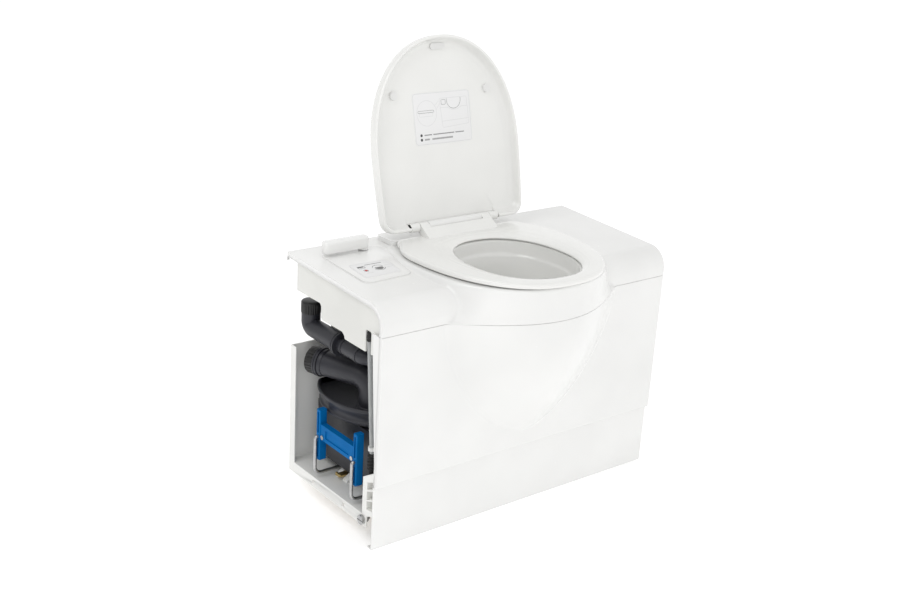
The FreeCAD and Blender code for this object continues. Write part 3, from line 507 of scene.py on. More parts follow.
def blur(g, passes):
    # light smoothing that leaves straight borders where they are
    for _ in range(passes):
        up = np.concatenate([2 * g[:1] - g[1:2], g, 2 * g[-1:] - g[-2:-1]], 0)
        g = 0.25 * up[:-2] + 0.5 * up[1:-1] + 0.25 * up[2:]
        sd = np.concatenate([2 * g[:, :1] - g[:, 1:2], g, 2 * g[:, -1:] - g[:, -2:-1]], 1)
        g = 0.25 * sd[:, :-2] + 0.5 * sd[:, 1:-1] + 0.25 * sd[:, 2:]
    return g


def grid_mesh(g, keep=None):
    nr, nc = g.shape[:2]
    verts = g.reshape(-1, 3)
    faces = []
    for i in range(nr - 1):
        for j in range(nc - 1):
            centre = 0.25 * (g[i, j] + g[i + 1, j] + g[i, j + 1] + g[i + 1, j + 1])
            if keep is not None and not keep(centre):
                continue
            faces.append((i * nc + j, i * nc + j + 1, (i + 1) * nc + j + 1, (i + 1) * nc + j))
    return verts, faces


def grid_normals(g):
    # normals that point up or to the front
    n = np.cross(np.gradient(g, axis=0), np.gradient(g, axis=1))
    n /= np.maximum(np.linalg.norm(n, axis=2)[:, :, None], 1e-9)
    return -n if np.mean(n[:, :, 2] - n[:, :, 1]) < 0 else n


def oval_in(x, y, hw, y0, y1, p=2.2):
    cy = (y0 + y1) / 2
    hl = (y1 - y0) / 2
    return (abs(x) / hw) ** p + (abs(y - cy) / hl) ** p < 1.0


def rolled(border, out, normal, r):
    # rounding of a border whose edge lies r outside it in the direction out
    return [border + out * (r * math.sin(a)) - normal * r * (1 - math.cos(a))
            for a in quarter(EDGE_SEG)]


def shell_skin(name, g, roll_top, roll_low, deep, keep=None):
    # one sheet of the shell, its borders rolled over and turned inwards
    n = grid_normals(g)
    up = g[0] - g[1]
    up /= np.linalg.norm(up, axis=1)[:, None]
    down = g[-1] - g[-2]
    down /= np.linalg.norm(down, axis=1)[:, None]
    # pull the border in by the roll radius so that the edge keeps its place
    face = g.copy()
    face[:, 0, 0] += ROLL
    face[:, -1, 0] -= ROLL
    face[0] -= up * roll_top
    face[-1] -= down * roll_low
    top = rolled(face[0], up, n[0], roll_top)[::-1]
    low = rolled(face[-1], down, n[-1], roll_low)
    full = np.concatenate([[top[0] - n[0] * deep * 0.6], top, face, low,
                           [low[-1] - n[-1] * deep * 0.5]], 0)
    nf = np.concatenate([np.repeat(n[:1], EDGE_SEG + 1, 0), n,
                         np.repeat(n[-1:], EDGE_SEG + 1, 0)], 0)
    left = rolled(full[:, 0], np.array([-1.0, 0, 0]), nf[:, 0], ROLL)[::-1]
    right = rolled(full[:, -1], np.array([1.0, 0, 0]), nf[:, -1], ROLL)
    lf = left[0] - nf[:, 0] * deep
    rf = right[-1] - nf[:, -1] * deep
    inward = np.array([5.0, 0, 0])
    full = np.concatenate([(lf + inward)[:, None], lf[:, None], np.stack(left, 1), full,
                           np.stack(right, 1), rf[:, None], (rf - inward)[:, None]], 1)
    v, f = grid_mesh(full, keep)
    return finish_mesh(name, v * MM, f, "gloss_white", "bench")


def build_shell():
    g, split = shell_grid()
    upper, lower = blur(g[:split], 3), blur(g[split:], 3)
    upper[:, 0, 0] = -HALF
    upper[:, -1, 0] = HALF
    keep = lambda c: not (c[2] > PLAT - 3.0 and oval_in(c[0], c[1], 115, -69, 193))
    return (shell_skin("shell_upper", upper, ROLL, SEAM_ROLL, 9.0, keep),
            shell_skin("shell_lower", lower, SEAM_ROLL, ROLL, 8.0))


SKIRT = [(281, 468), (281, 406), (203, 406), (199, 401), (199, 380), (194, 376), (130, 376),
         (123, 371), (122, 365), (57, 364.2), (57, 405), (41, 405), (41, 364), (12, 370),
         (6, 380), (6, 425), (12, 440), (24, 452), (40, 458)]


SKIRT_ROUND = [1, 2, 3, 3, 3, 3, 4, 3, 3, 1.5, 3, 3, 1.5, 6, 4, 1, 4, 4, 4]
FLANGE = [(3.5, 408), (30, 408), (9, 150), (6, 126), (3.5, 126)]


def both_ends(name, outline, x, thick, bevel, mat):
    # a flat piece at each end of the bench, thickening outwards from |x|
    for sign, tag in ((-1, "left"), (1, "right")):
        place = lambda p, s=sign: Vector((s * (x + p.z), p.x, p.y))
        slab(name + "_" + tag, outline, 0.0, thick, bevel, mat, "bench", place)


shell_upper, shell_lower = build_shell()
both_ends("skirt", rounded_poly(SKIRT, SKIRT_ROUND, 4), 330.5, 3.5, 0.8, "satin_white")
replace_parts(shell_upper, "top_moulding")
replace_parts(shell_lower, "front_panel")
both_ends("panel_flange", FLANGE, 337.0, 2.4, 0.5, "gloss_white")


# ---------------------------------------------------------------- seat, lid, bowl

def egg(hw, y_front, y_wide, y_back, hw_back, rc, n=200, p=2.3):
    # closed outline, same number of evenly spaced points whatever the size
    pts = []
    ln = y_wide - y_front
    for i in range(121):
        a = math.pi * i / 120
        c, s = math.cos(a), math.sin(a)
        pts.append((hw * math.copysign(abs(c) ** (2 / p), c), y_wide - ln * abs(s) ** (2 / p)))
    yb = y_back - rc
    for i in range(1, 25):
        k = i / 24
        pts.append((-(hw - (hw - hw_back) * k * k), y_wide + (yb - y_wide) * k))
    for i in range(1, 13):
        a = math.pi / 2 * i / 12
        pts.append((-(hw_back - rc + rc * math.cos(a)), yb + rc * math.sin(a)))
    for i in range(12, 0, -1):
        a = math.pi / 2 * i / 12
        pts.append((hw_back - rc + rc * math.cos(a), yb + rc * math.sin(a)))
    for i in range(24, 0, -1):
        k = i / 24
        pts.append(((hw - (hw - hw_back) * k * k), y_wide + (yb - y_wide) * k))
    q = np.array(pts)
    q = np.concatenate([q, q[:1]])
    d = np.r_[0, np.cumsum(np.linalg.norm(np.diff(q, axis=0), axis=1))]
    s = np.linspace(0, d[-1], n, endpoint=False)
    return np.stack([np.interp(s, d, q[:, 0]), np.interp(s, d, q[:, 1])], 1)


def oval(hw, y0, y1, n=200, p=2.2, cx=0.0, start=None):
    cy = (y0 + y1) / 2
    hl = (y1 - y0) / 2
    pts = []
    for i in range(720):
        a = 2 * math.pi * i / 720
        c, s = math.cos(a), math.sin(a)
        pts.append((cx + hw * math.copysign(abs(c) ** (2 / p), c),
                    cy - hl * math.copysign(abs(s) ** (2 / p), s)))
    q = np.array(pts + pts[:1])
    d = np.r_[0, np.cumsum(np.linalg.norm(np.diff(q, axis=0), axis=1))]
    s = np.linspace(0, d[-1], n, endpoint=False)
    return np.stack([np.interp(s, d, q[:, 0]), np.interp(s, d, q[:, 1])], 1)


def match(a, b):
    # turns the start of outline b so that it lines up with outline a
    ca, cb = a.mean(0), b.mean(0)
    ta = np.arctan2(a[0][1] - ca[1], a[0][0] - ca[0])
    tb = np.arctan2(b[:, 1] - cb[1], b[:, 0] - cb[0])
    k = int(np.argmin(np.abs((tb - ta + np.pi) % (2 * np.pi) - np.pi)))
    return np.roll(b, -k, 0)


def ring(pts, z):
    zz = np.full((len(pts), 1), z) if np.isscalar(z) else np.asarray(z).reshape(-1, 1)
    return np.concatenate([pts, zz], 1)


SEAT_TOP = 487.0
SEAT_LOW = SEAT_TOP - 10.5
AX = Vector((0.0, 250.0, 500.0))    # the hinge axis of seat and lid
LID_OPEN = -103.0                   # the lid is drawn shut and tipped to its open rest


def seat_outer(i):
    return egg(177.0 - i, -99.0 + i, 146.0, 240.5 - i, 152.0 - i, 22.0 - i / 2)


def build_seat():
    edge = seat_outer(0)
    inner = match(edge, oval(103, -68, 184))
    inner_low = match(edge, oval(109, -74, 190))
    outer = seat_outer(6.0)
    # underside and outer edge
    loops = [ring(inner_low, SEAT_LOW + 1.5), ring(inner_low, SEAT_LOW),
             ring(seat_outer(2.5), SEAT_LOW)]
    for a in quarter(4):
        loops.append(ring(seat_outer(2.5 - 2.5 * math.sin(a)),
                          SEAT_LOW + 2.5 * (1 - math.cos(a))))
    for a in [0.0] + quarter(6):
        loops.append(ring(seat_outer(5.0 * (1 - math.cos(a))),
                          SEAT_TOP - 5.0 + 4.2 * math.sin(a)))
    # crowned top, blending from the outer edge to the opening
    crown = 0.62
    for k in range(1, 26):
        t = k / 26
        if t < crown:
            z = SEAT_TOP - 0.8 + 0.8 * math.sin(math.pi * t * 1.25)
        else:
            q = (t - crown) / (1 - crown)
            z = SEAT_TOP - 0.8 - 5.2 * q ** 2.2 + 0.01508 * (1 - q)
        loops.append(ring((1 - t) * outer + t * inner, z))
    # down the opening's edge
    for k in range(1, 5):
        loops.append(ring(inner + (inner.mean(0) - inner) * (-0.006 * k),
                          SEAT_TOP - 6.0 - 0.66 * k))
    loops.append(ring(inner_low, SEAT_LOW + 1.5))
    v, f = loops_mesh([[tuple(p * MM) for p in lp] for lp in loops])
    o = finish_mesh("seat_ring_skin", v, f, "seat_white", "seat")
    weld(o, 0.00002)
    return o


def tip_open(p):
    return AX + Matrix.Rotation(math.radians(LID_OPEN), 3, "X") @ (Vector(p) - AX)


def lid_outer(i):
    return egg(172.5 - i, -107.1 + i, 110.0, 254.6 - i, 169.0 - i, 26.0 - i / 2, 420, 2.15)


def lid_ring(pts, z):
    # the back wall is open between the two hinge arms, with upright ends
    q = ring(pts, z)
    gap = (np.abs(q[:, 0]) < 106.6) & (q[:, 1] > 226.0)
    q[:, 2] = np.where(gap, np.maximum(q[:, 2], 509.6), q[:, 2])
    q[:, 1] = np.where(gap, np.minimum(q[:, 1], 248.0), q[:, 1])
    edge = gap & (np.abs(q[:, 0]) > 103.0)
    q[:, 0] = np.where(edge, np.sign(q[:, 0]) * 106.55, q[:, 0])
    return q


# from the inside floor over the rim to the outside: inset from the outline, height
LID_PAN = [(21, 509), (18.6, 508.6), (16.2, 507.8), (13.8, 506.5), (11.8, 504.8), (10.2, 502.7),
           (9.0, 500.2), (8.0, 497.6), (7.1, 495.2), (6.3, 493.2), (5.6, 491.8), (4.8, 490.8),
           (3.9, 490.3), (2.9, 490.1), (1.9, 490.3), (1.0, 490.8), (0.35, 491.7), (0, 493.0),
           (0, 500.0), (0.15, 504.0), (0.6, 507.2), (1.5, 510.2), (3.0, 512.9), (5.2, 515.3),
           (8.2, 517.2), (12.0, 518.4), (17, 519)]


def build_lid():
    loops = []
    mid = np.array([0.0, 62.0])
    for t in (0.02, 0.15, 0.3, 0.45, 0.6, 0.75, 0.88, 0.97):
        loops.append(lid_ring(mid + (lid_outer(21.0) - mid) * t, 509.0))
    for ins, z in LID_PAN:
        loops.append(lid_ring(lid_outer(ins), z))
    for t in (0.97, 0.92, 0.84, 0.75, 0.6, 0.45, 0.3, 0.15, 0.02):
        loops.append(lid_ring(mid + (lid_outer(17.0) - mid) * t, 519.0))
    v, f = loops_mesh([[tuple(tip_open(p) * MM) for p in lp] for lp in loops], True, True)
    o = finish_mesh("lid_skin", v, f, "seat_white", "lid", sharp=50)
    weld(o, 0.0001)
    return o


SEAT_ARM = [(220, 477.5), (231, 477.5), (255, 493.2), (250.5, 508.4), (243, 505.4),
            (220, 486.6)]
LID_ARM = [(241.6, 499), (249, 492), (256, 500), (249, 511.5), (241.6, 511.5)]
BRIDGE = [(214, 478), (214, 486.3), (240.4, 503.4), (240.4, 478)]


def build_hinge_arms():
    # knuckles of the lid and the seat round the hinge axis
    for body, off, half, pts in (("seat", 74.4, 10.3, SEAT_ARM), ("lid", 95.8, 10.35, LID_ARM)):
        for sign, tag in ((-1, "left"), (1, "right")):
            prof = [(5.0, -half), (7.7, -half), (8.5, -half + 0.8), (8.5, half - 0.8),
                    (7.7, half), (5.0, half)]
            lathe(body + "_knuckle_" + tag, prof, (sign * off, AX.y, AX.z), (1, 0, 0),
                  "seat_white", body, 56)
            prof = rounded_poly(pts, [0.5, 3, 4, 4, 3, 0.5], 5)

            def place(p, x0=sign * off - half, lid=(body == "lid")):
                q = Vector((x0 + p.z, p.x, p.y))
                return tip_open(q) if lid else q

            slab(body + "_arm_" + tag, prof, 0.0, 2 * half, 0.5, "seat_white", body, place)
    # the seat's back edge rises to the hinge over its whole middle
    half = 84.6
    slab("seat_bridge", rounded_poly(BRIDGE, [0.5, 6, 2.5, 1], 6), 0.0, 2 * half, 1.0,
         "seat_white", "seat", lambda p: Vector((p.z - half, p.x, p.y)))


def band(name, pts, width, z0, z1, mat, body, place, closed=True):
    # printed or raised line of even width following a flat path
    q = np.array(pts, float)
    if closed:
        d = np.roll(q, -1, 0) - np.roll(q, 1, 0)
    else:
        d = np.gradient(q, axis=0)
    nrm = np.stack([d[:, 1], -d[:, 0]], 1)
    nrm /= np.maximum(np.linalg.norm(nrm, axis=1)[:, None], 1e-9)
    a, b = q + nrm * width / 2, q - nrm * width / 2
    n = len(q)
    verts = [(x, y, z) for r, z in ((a, z0), (a, z1), (b, z1), (b, z0)) for x, y in r]
    faces = []
    for i in range(n if closed else n - 1):
        j = (i + 1) % n
        for k in range(4):
            m = (k + 1) % 4
            faces.append((k * n + i, k * n + j, m * n + j, m * n + i))
    if not closed:
        faces.append((0, n, 2 * n, 3 * n))
        faces.append((n - 1, 4 * n - 1, 3 * n - 1, 2 * n - 1))
    v = [tuple(place(Vector(p)) * MM) for p in verts]
    return finish_mesh(name, v, faces, mat, body, None, smooth=False)


def bar(x0, x1, y, w, r):
    # outline of a short printed bar of height w centred on y
    return rounded_poly([(x0, y - w / 2), (x1, y - w / 2), (x1, y + w / 2), (x0, y + w / 2)],
                        r, 3)


def circle(cx, cy, r, n=40, a0=0.0, a1=360.0):
    k = n if a1 - a0 >= 360 else n + 1
    return [(cx + r * math.cos(math.radians(a0 + (a1 - a0) * i / n)),
             cy + r * math.sin(math.radians(a0 + (a1 - a0) * i / n))) for i in range(k)]


def dense(pts, step=2.0):
    out = []
    for a, b in zip(pts[:-1], pts[1:]):
        n = max(1, int(math.dist(a, b) / step))
        out += [(a[0] + (b[0] - a[0]) * i / n, a[1] + (b[1] - a[1]) * i / n) for i in range(n)]
    return out + [pts[-1]]


def build_lid_label():
    # inside face of the lid: a sticker with line drawings and no wording
    place = lambda p: tip_open((p.x, p.y, 508.95 - p.z))
    body, slot = "lid", "label_white"
    tag = rounded_poly([(-68, -1), (70, -1), (70, 98), (-68, 98)], 7, 8)
    skin = slab("lid_label_skin", tag, 0.0, 0.25, 0.12, "lid_sticker", body, place)
    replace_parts(skin, "lid_label")
    line = lambda nm, pts, w=0.55, closed=True, mat="print_pale": band(
        "lid_print_" + nm, pts, w, 0.2, 0.34, mat, body, place, closed)
    line("edge", rounded_poly([(-66.6, 0.4), (68.6, 0.4), (68.6, 96.6), (-66.6, 96.6)], 6, 8), 0.8)
    line("round", [(x * 0.98 - 1, y) for x, y in circle(-36, 38, 24, 64)], 0.6)
    line("lever_top", rounded_poly([(-57, 33), (-19, 33), (-19, 37), (-57, 37)], 1.5, 3), 0.7,
         mat="print_mid")
    line("lever_low", rounded_poly([(-54, 37.5), (-22, 37.5), (-22, 44), (-54, 44)], 2, 3), 0.5)
    line("lead_a", dense([(-16, 25), (-6, 16)]), 0.5, False)
    line("lead_b", dense([(-14, 33), (-4, 22)]), 0.5, False)
    line("bench", rounded_poly([(-4, 12), (62, 12), (64, 64), (0, 68)], 2, 3), 0.6)
    line("bench_seam", dense([(-3.4, 30), (14, 30), (24, 35), (38, 35), (48, 30), (62.6, 30)]),
         0.6, False)
    line("bench_foot", dense([(-1, 56), (63, 54)]), 0.6, False)
    line("bench_seat", circle(30, 16, 17, 40, -10, 190), 0.8, False, mat="print_mid")
    line("bench_plate", rounded_poly([(0, 15), (10, 15), (10, 24), (0, 24)], 1.5, 3), 0.7,
         mat="print_mid")
    for k, y in enumerate((79.0, 87.5)):
        slab("lid_print_dot_%d" % k, circle(-53, y, 2.7, 28), 0.2, 0.34, 0.05, "print_dark", body,
             place)
    for k, (x0, x1, y, w) in enumerate(((-46, -28, 79, 2.2), (-25, 26, 79, 2.0), (29, 50, 79, 2.0),
                                        (-46, -34, 87.5, 3.2), (-28, 22, 87.5, 3.2))):
        slab("lid_print_bar_%d" % k, bar(x0, x1, y, w, 0.5), 0.2, 0.34, 0.05,
             "print_mid" if k < 3 else "print_grey", body, place)


# height, half width, front, back and sideways shift of the bowl's outside
BOWL = [(474.0, 111.7, -65.7, 189.7, 0), (452, 108, -60, 186, 0), (431, 103.5, -51.5, 180.5, 0.5),
        (410, 98, -42, 177.5, 1), (390, 91, -29.5, 177, 2), (370, 84, -15, 180, 3),
        (350, 77, 4, 184.5, 4), (335, 70, 28, 189, 6), (320, 62, 58, 192.5, 8),
        (308, 57, 77, 194.3, 9.5), (298, 54.3, 85.5, 194.3, 10), (290.5, 54, 86, 194, 10)]


def build_bowl():
    spec = np.array(BOWL, float)[::-1]
    fine = np.concatenate([np.linspace(474, 432, 18), np.linspace(429, 290.5, 46)])
    rows = np.array([[np.interp(z, spec[:, 0], spec[:, c]) for c in (1, 2, 3, 4)] for z in fine])
    # smooth the radii along the height, carrying on past both ends
    kern = np.array([1, 2, 4, 5, 4, 2, 1.0])
    kern /= kern.sum()
    ext = np.array([rows[0] + (rows[0] - rows[1]) * k for k in (3, 2, 1)])
    low = np.repeat(rows[-1:], 3, 0)
    pad = np.concatenate([ext, rows, low])
    rows = np.array([np.convolve(pad[:, c], kern, "valid") for c in range(4)]).T
    loops = []
    # outside, from the flange down to the outlet
    for hw, a, b, z in ((112.0, -66.0, 190.0, 470.2), (121, -74, 199, 470.2), (121, -74, 199, 466),
                        (113, -67, 191, 465.8)):
        loops.append(ring(oval(hw, a, b), z))
    for (hw, a, b, cx), z in list(zip(rows, fine))[5::3]:
        loops.append(ring(oval(hw - 0.2, a + 0.2, b - 0.2, cx=cx), z))
    loops.append(ring(oval(53.6, 86.4, 193.6, cx=10.0), 290.5))
    # and up the inside to the rolled lip
    for (hw, a, b, cx), z in list(zip(rows, fine))[::-1]:
        ins = 4.6 + 2.2 * smooth_step(np.array([(452 - z) / 5.0]))[0]
        loops.append(ring(oval(hw - ins, a + ins, b - ins, cx=cx), z))
    for hw, a, b, z in ((107.6, -61.6, 185.6, 474.9), (108.8, -62.8, 186.8, 475.7),
                        (111.0, -65.0, 189.0, 476.1), (114.0, -68.0, 192.0, 475.9),
                        (116.5, -70.5, 194.5, 475.2), (117.2, -71.2, 195.2, 474.2)):
        loops.append(ring(oval(hw, a, b), z))
    v, f = loops_mesh([[tuple(p * MM) for p in lp] for lp in loops])
    return finish_mesh("bowl_skin", v, f, "bowl_white", "bench")


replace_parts(build_seat(), "seat_ring")
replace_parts(build_lid(), "lid_shell")
build_hinge_arms()
build_lid_label()
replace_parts(build_bowl(), "bowl")


# ---------------------------------------------------------------- controls

def build_controls():
    pts = [(-302, 106), (-198, 112), (-192, 150), (-166, 257), (-300, 264)]
    prof = rounded_poly(pts, [16, 16, 60, 20, 18], 8)
    plate = slab("control_plate_skin", prof, 0.0, 3.0, 1.6, "gloss_white", "bench", on_top)
    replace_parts(plate, "control_plate")
    tag = rounded_poly([(-290, 124), (-212, 126), (-204, 186), (-286, 190)], 7, 6)
    label = slab("panel_label_skin", tag, 3.0, 3.5, 0.3, "label_white", "bench", on_top)
    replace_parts(label, "panel_label")
    big = rounded_poly([(-289.2, 125), (-212.8, 127), (-205, 185.2), (-285.2, 189)], 6.5, 6)
    line = lambda nm, pts, w=0.6, closed=True, mat="print_grey": band(
        "panel_print_" + nm, pts, w, 3.4, 3.62, mat, "bench", on_top, closed)
    line("edge", big, 0.5, mat="print_pale")
    line("ring_a", circle(-240, 158, 11.6, 40, 20, 160), 1.0, False, "print_dark")
    line("ring_b", circle(-240, 158, 11.6, 40, 200, 340), 1.0, False, "print_dark")
    line("lamp", circle(-270, 154, 4.2, 32), 0.7, mat="print_dark")
    line("level", rounded_poly([(-277, 166), (-263, 166), (-263, 174), (-277, 174)], 1.5, 3), 0.9,
         mat="print_dark")
    slab("panel_print_fill", rounded_poly([(-276, 170), (-264, 170), (-264, 173.4),
                                           (-276, 173.4)], 1, 3), 3.4, 3.62, 0.05, "print_dark",
         "bench", on_top)
    for k, (x0, x1, y, w) in enumerate(((-258, -222, 178, 2.4), (-224, -212, 164, 1.4),
                                        (-224, -212, 154, 1.2), (-276, -262, 142, 1.2))):
        slab("panel_print_bar_%d" % k, bar(x0, x1, y, w, 0.4), 3.4, 3.62, 0.05,
             "print_mid" if k == 0 else "print_pale", "bench", on_top)


build_controls()


def build_lever():
    # rounded bar with a crowned top over a round foot
    hx, hy = 48.0, 9.5
    mid = np.array([-253.0, 248.0])
    box = np.array(rounded_poly([(-hx, -hy), (hx, -hy), (hx, hy), (-hx, hy)], 7, 8))
    loops = []
    for d, z in ((2.0, 480.6), (0.8, 480.9), (0.0, 482.2), (0.0, 498.5), (0.4, 500.6),
                 (1.4, 502.3), (3.0, 503.3), (5.0, 503.8), (7.0, 504.0)):
        loops.append(ring(mid + box * np.array([(hx - d) / hx, (hy - d) / hy]), z))
    v, f = loops_mesh([[tuple(p * MM) for p in lp] for lp in loops], True, True)
    o = finish_mesh("blade_lever_skin", v, f, "gloss_white", "blade_handle", sharp=60)
    lathe("blade_lever_foot", [(9.5, 0.0), (9.5, 4.4), (8.6, 4.9)], (-212, 250, 476.4), (0, 0, 1),
          "gloss_white", "blade_handle", 40)
    return o


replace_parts(build_lever(), "blade_lever")


# ---------------------------------------------------------------- pipes and cassette

FILL = Vector((-300.0, 285.0, 328.0))     # the filler pipe's lower bend


def build_pipes():
    x, y, z = FILL
    o = tube("fill_elbow_skin", [(x, y, 356), (x, y, z), (x, 189, z)], 18.0, "charcoal", "bench",
             bend=19.0, n=48)
    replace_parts(o, "fill_elbow")
    lathe("fill_neck", [(16.6, 0), (16.6, 3), (16, 4), (16, 24), (14, 25)], (x, y, 351), (0, 0, 1),
          "charcoal", "bench", 48)
    lathe("fill_flange", [(17, 0), (22.4, 0), (23, 0.8), (23, 3.8), (21.5, 4.6), (21.5, 6.0),
                          (23, 6.8), (23, 9.4), (22.4, 10), (14, 10.0)], (x, 188, z), (0, -1, 0),
          "charcoal", "bench", 56)
    p = tube("fill_pipe_skin", [(x, 179, z), (x, 102, z), (-262, 102, z)], 14.5, "charcoal",
             "bench", bend=17.0, n=40)
    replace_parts(p, "fill_pipe")
    for k, yy in enumerate((168, 122)):
        lathe("fill_band_%d" % k, [(14.4, 0), (15.6, 0.4), (15.6, 4.6), (14.4, 5)], (x, yy, z),
              (0, -1, 0), "charcoal", "bench", 40)


build_pipes()


SPOUT = Vector((-255.0, 144.0, 266.0))
SPOUT_TURN = math.radians(20)             # how far the stowed spout is turned to the left
OUT = Vector((-math.sin(SPOUT_TURN), math.cos(SPOUT_TURN), 0.0))


def along(d):
    # a point on the stowed spout's pipe, measured from its swivel axis
    return SPOUT + OUT * d


def ribs(depth, count):
    # grip ribs on the wall of a cap, the profile's second to fifth points
    return lambda a, i: 1.0 - (depth * max(0.0, math.cos(a * count)) if 1 <= i <= 4 else 0.0)


def build_caps():
    c = lathe("fill_cap_skin", [(16.6, 0), (18.4, 0.2), (19.0, 1.2), (19.0, 17), (18.8, 19),
                                (19.0, 20.2), (18.2, 22.4), (16.6, 23.6), (12, 24.6), (4, 25),
                                (0.5, 25)],
              (FILL.x, FILL.y, 356), (0, 0, 1), "black_plastic", "filler_cap", 192,
              ridge=ribs(0.045, 24))
    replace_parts(c, "fill_cap")
    s = lathe("spout_cap_skin", [(24.6, 0), (25.9, 0.2), (26.5, 1.0), (26.5, 13), (26.3, 15.6),
                                 (25.2, 17.4), (23.0, 18.4), (21.2, 18.5), (20.4, 16.6),
                                 (17, 16.4), (1, 16.4)],
              along(121.1), OUT, "black_plastic", "spout_closure", 224, ridge=ribs(0.04, 28))
    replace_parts(s, "spout_cap")


build_caps()


def build_spout():
    x, y, z = SPOUT
    o = tube("pour_spout_skin", [(x, y, 206.6), (x, y, z), along(126.5)], 24.0, "charcoal",
             "spout", bend=32.0, n=64, steps=20)
    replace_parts(o, "pour_spout")
    lathe("spout_collar", [(23, 0), (25.3, 0.3), (25.6, 0.8), (25.6, 13.0), (25.2, 14.2),
                           (24.4, 15.0), (23, 15.4)],
          (x, y, 197.5), (0, 0, 1), "charcoal", "spout", 64)
    lathe("spout_step", [(23.2, 0), (24.8, 0.4), (25.6, 1.6), (25.6, 8.0), (24.5, 8.4)],
          along(102.6), OUT, "charcoal", "spout", 64)
    r = lathe("spout_ring_skin", [(24, 0), (27.2, 0.2), (28, 1.0), (28, 3.6), (27.0, 4.2),
                                  (27.0, 5.2), (28, 5.8), (28, 8.6), (27.2, 9.4), (24, 9.5)],
              along(111.0), OUT, "charcoal", "spout", 72)
    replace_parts(r, "spout_ring")


build_spout()


SHOULDER = (-179.0, 195.0)
# radius and height, from the underside round the lip and rim to the pan's floor
SHOULDER_SIDE = [(112, 178), (124, 180.6), (130.6, 184.8), (131.5, 186.0), (132.0, 187.4),
                 (132.0, 189.4), (131.4, 190.8), (129.6, 192.2), (129.2, 195.0), (129.9, 199.0),
                 (131.4, 203.0), (133.4, 206.6), (135.2, 210.2), (136.0, 213.2), (135.8, 215.6),
                 (134.9, 217.3), (133.4, 218.0), (132.0, 217.5), (131.2, 215.8), (130.4, 212.0),
                 (129.6, 208.6), (128.4, 206.8), (126.5, 206.2), (118, 206.1), (80, 206.1),
                 (40, 206.1), (6, 206.1)]


def shoulder(r):
    # round pan cut straight at the back and towards the tank's neck
    pts = circle(*SHOULDER, r, 200)
    return np.array([(min(x, -95.0), min(y, 282.5)) for x, y in pts])


def build_tank():
    loops = [ring(shoulder(r), z) for r, z in SHOULDER_SIDE]
    v, f = loops_mesh([[tuple(p * MM) for p in lp] for lp in loops], True, True)
    d = finish_mesh("tank_shoulder_skin", v, f, "charcoal", "cassette", sharp=50)
    weld(d, 0.00005)
    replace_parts(d, "tank_shoulder")
    lathe("swivel_socket", [(25.8, 0), (30.4, 0), (30.5, 1.6), (30.0, 2.6), (26.6, 2.8),
                            (25.8, 2.2)],
          (SPOUT.x, SPOUT.y, 205.9), (0, 0, 1), "charcoal", "cassette", 72)
    prof = [(43.6, 0), (44, 0.4), (44, 3.4), (42.6, 4.8), (36, 5), (34.5, 3.4), (32.5, 3.4),
            (31, 5), (1, 5)]
    q = lathe("shoulder_disc_skin", prof, (-168, 190, 206.2), (0, 0, 1), "black_plastic",
              "cassette", 96)
    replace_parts(q, "shoulder_disc")
    pts = rounded_poly([(-204, 184.5), (-132, 184.5), (-132, 195.5), (-204, 195.5)], 5, 6)
    slab("shoulder_grip", pts, 210.8, 219.0, 2.5, "black_plastic", "cassette")


build_tank()


TUBE_LOW = Vector((-318.0, 48.0, 170.0))
TUBE_TOP = Vector((-331.0, 49.0, 386.0))


def build_tube_parts():
    t = tube("level_tube_skin", [TUBE_LOW, TUBE_TOP], 4.2, "clear_plastic", "bench", n=32)
    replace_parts(t, "level_tube")
    # plain stem under five bellows folds
    prof = [(4.4, 52), (4.4, 136), (6.0, 137)]
    for k in range(5):
        z = 137.5 + 6.2 * k
        prof += [(6.0, z), (7.4, z + 1.2), (8.1, z + 3.0), (7.4, z + 4.8), (6.0, z + 6.0)]
    prof += [(6.0, 169.4), (4.6, 169.6)]
    b = lathe("drain_bellows_skin", prof, (TUBE_LOW.x, TUBE_LOW.y, 0), (0, 0, 1),
              "black_rubber", "bench", 48)
    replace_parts(b, "drain_bellows")


build_tube_parts()


def build_handle():
    # each rod runs under the tank, turns up in front of it and hooks into the handle
    hook_x, rod_z, hook_z = -333, 62, 138
    for y, tag in ((209.0, "rear"), (87.0, "front")):
        path = [(-316, y, hook_z), (hook_x, y, hook_z), (hook_x, y, rod_z), (60, y, rod_z)]
        o = tube("pull_rod_skin_" + tag, path, 3.25, "steel", "pull_handle", bend=[4.0, 14.0],
                 n=24)
        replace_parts(o, "pull_rod_" + tag)


build_handle()


# ---------------------------------------------------------------- carried-over nodes

slots = {s["node"]: s["material_slot"] for s in frame["record"]["subparts"]}
for n, o in nodes.items():
    o.data.materials.clear()
    o.data.materials.append(M[slots[n]])
# the bay's parts take the brightened white, painted light for the shaded bay
for n in ("bay_tray", "front_post", "latch_block"):
    nodes[n].data.materials[0] = M["tray_white_painted_light"]

# edge rounding of the nodes that keep their CAD mesh, mm
BEVEL = {"kickboard": 0.8, "end_panel": 0.6, "bay_tray": 0.5, "front_post": 0.5,
         "handle_frame": 1.2, "hinge_block": 1.0, "waste_tank": 3.0, "flush_tank": 2.5,
         "control_box": 1.0, "valve_housing": 1.5, "latch_block": 0.6, "latch_lever": 0.4,
         "runner_pads": 0.5, "rod_guides": 0.8, "axle_brackets": 0.8, "wheel_front": 0.8,
         "wheel_rear": 0.8, "tube_top_plug": 0.4, "tube_clip": 0.4, "handle_rivets": 0.4,
         "tray_bolt": 0.6, "flush_nozzle": 0.5, "rear_frame": 0.6, "tray_bearers": 0.6}
for n, w in BEVEL.items():
    o = nodes[n]
    weld(o, 0.00002)
    bm = o.modifiers.new("edge", "BEVEL")
    bm.width = w * MM
    bm.segments = 2
    bm.limit_method = "ANGLE"
    bm.angle_limit = math.radians(40)
    bm.harden_normals = False


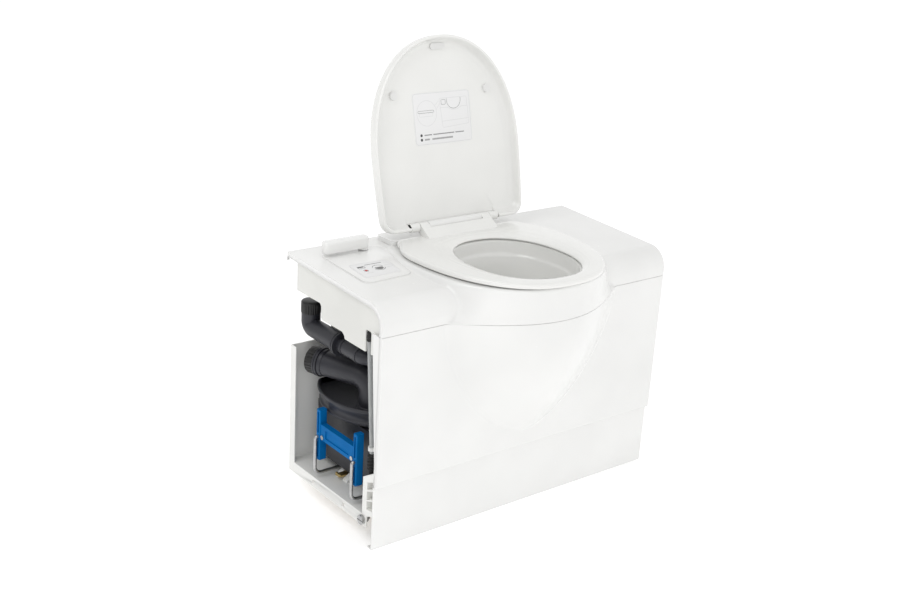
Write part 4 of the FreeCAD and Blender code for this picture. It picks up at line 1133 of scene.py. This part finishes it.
# ---------------------------------------------------------------- camera, light, floor

def build_camera():
    az, el, roll = math.radians(-38.9869), math.radians(19.8549), math.radians(3.4063)
    back = Vector((math.sin(az) * math.cos(el), -math.cos(az) * math.cos(el), math.sin(el)))
    side = Vector((0, 0, 1)).cross(back).normalized()
    up = back.cross(side)
    c, s = math.cos(roll), math.sin(roll)
    m = Matrix((side * c + up * s, up * c - side * s, back)).transposed().to_4x4()
    m.translation = Vector((-1.5063985, -1.6140218 - DATUM_Y, 1.2030242))
    cam = bpy.data.cameras.new("camera")
    cam.sensor_width = 36.0
    cam.lens = 51.2912
    cam.clip_start = 0.05
    o = bpy.data.objects.new("camera", cam)
    o.matrix_world = m
    bpy.context.scene.collection.objects.link(o)
    bpy.context.scene.camera = o


def area_light(name, loc, target, size, power, colour=(1, 1, 1)):
    li = bpy.data.lights.new(name, "AREA")
    li.energy = power
    li.color = colour
    li.size = size
    o = bpy.data.objects.new(name, li)
    o.location = loc
    o.rotation_euler = (Vector(target) - Vector(loc)).to_track_quat("-Z", "Y").to_euler()
    bpy.context.scene.collection.objects.link(o)


def build_stage():
    me = bpy.data.meshes.new("floor")
    s, z = 14.0, -0.0005
    me.from_pydata([(-s, -s, z), (s, -s, z), (s, s, z), (-s, s, z)], [], [(0, 1, 2, 3)])
    me.materials.append(floor_material())
    o = bpy.data.objects.new("floor", me)
    bpy.context.scene.collection.objects.link(o)
    # white surroundings, a little darker overhead and towards the open left end
    w = bpy.data.worlds.new("studio")
    w.use_nodes = True
    t = w.node_tree
    bg = t.nodes["Background"]
    tc = t.nodes.new("ShaderNodeTexCoord")
    sep = t.nodes.new("ShaderNodeSeparateXYZ")
    t.links.new(tc.outputs["Generated"], sep.inputs["Vector"])
    t.links.new(ramp(t, sep.outputs["Z"], [(0.0, grey(1.0)), (0.35, grey(0.95)),
                                           (1.0, grey(0.76))]), bg.inputs["Color"])
    side = t.nodes.new("ShaderNodeMapRange")
    for k, v in (("From Min", -1.0), ("From Max", 0.1), ("To Min", 0.42), ("To Max", 1.10)):
        side.inputs[k].default_value = v
    t.links.new(sep.outputs["X"], side.inputs["Value"])
    t.links.new(side.outputs["Result"], bg.inputs["Strength"])
    bpy.context.scene.world = w
    area_light("key", (-1.6, -2.6, 1.8), (0.0, 0.0, 0.3), 2.2, 7.0, (1.0, 0.995, 0.985))
    area_light("low", (-2.0, -1.9, 0.5), (-0.3, 0.2, 0.16), 0.9, 2.0)
    area_light("top", (-1.5, 0.0, 2.1), (-0.2, 0.1, 0.45), 1.2, 12.0)
    sc = bpy.context.scene
    sc.view_settings.view_transform = "Standard"
    sc.view_settings.look = "None"
    sc.view_settings.exposure = 0.0


build_camera()
build_stage()
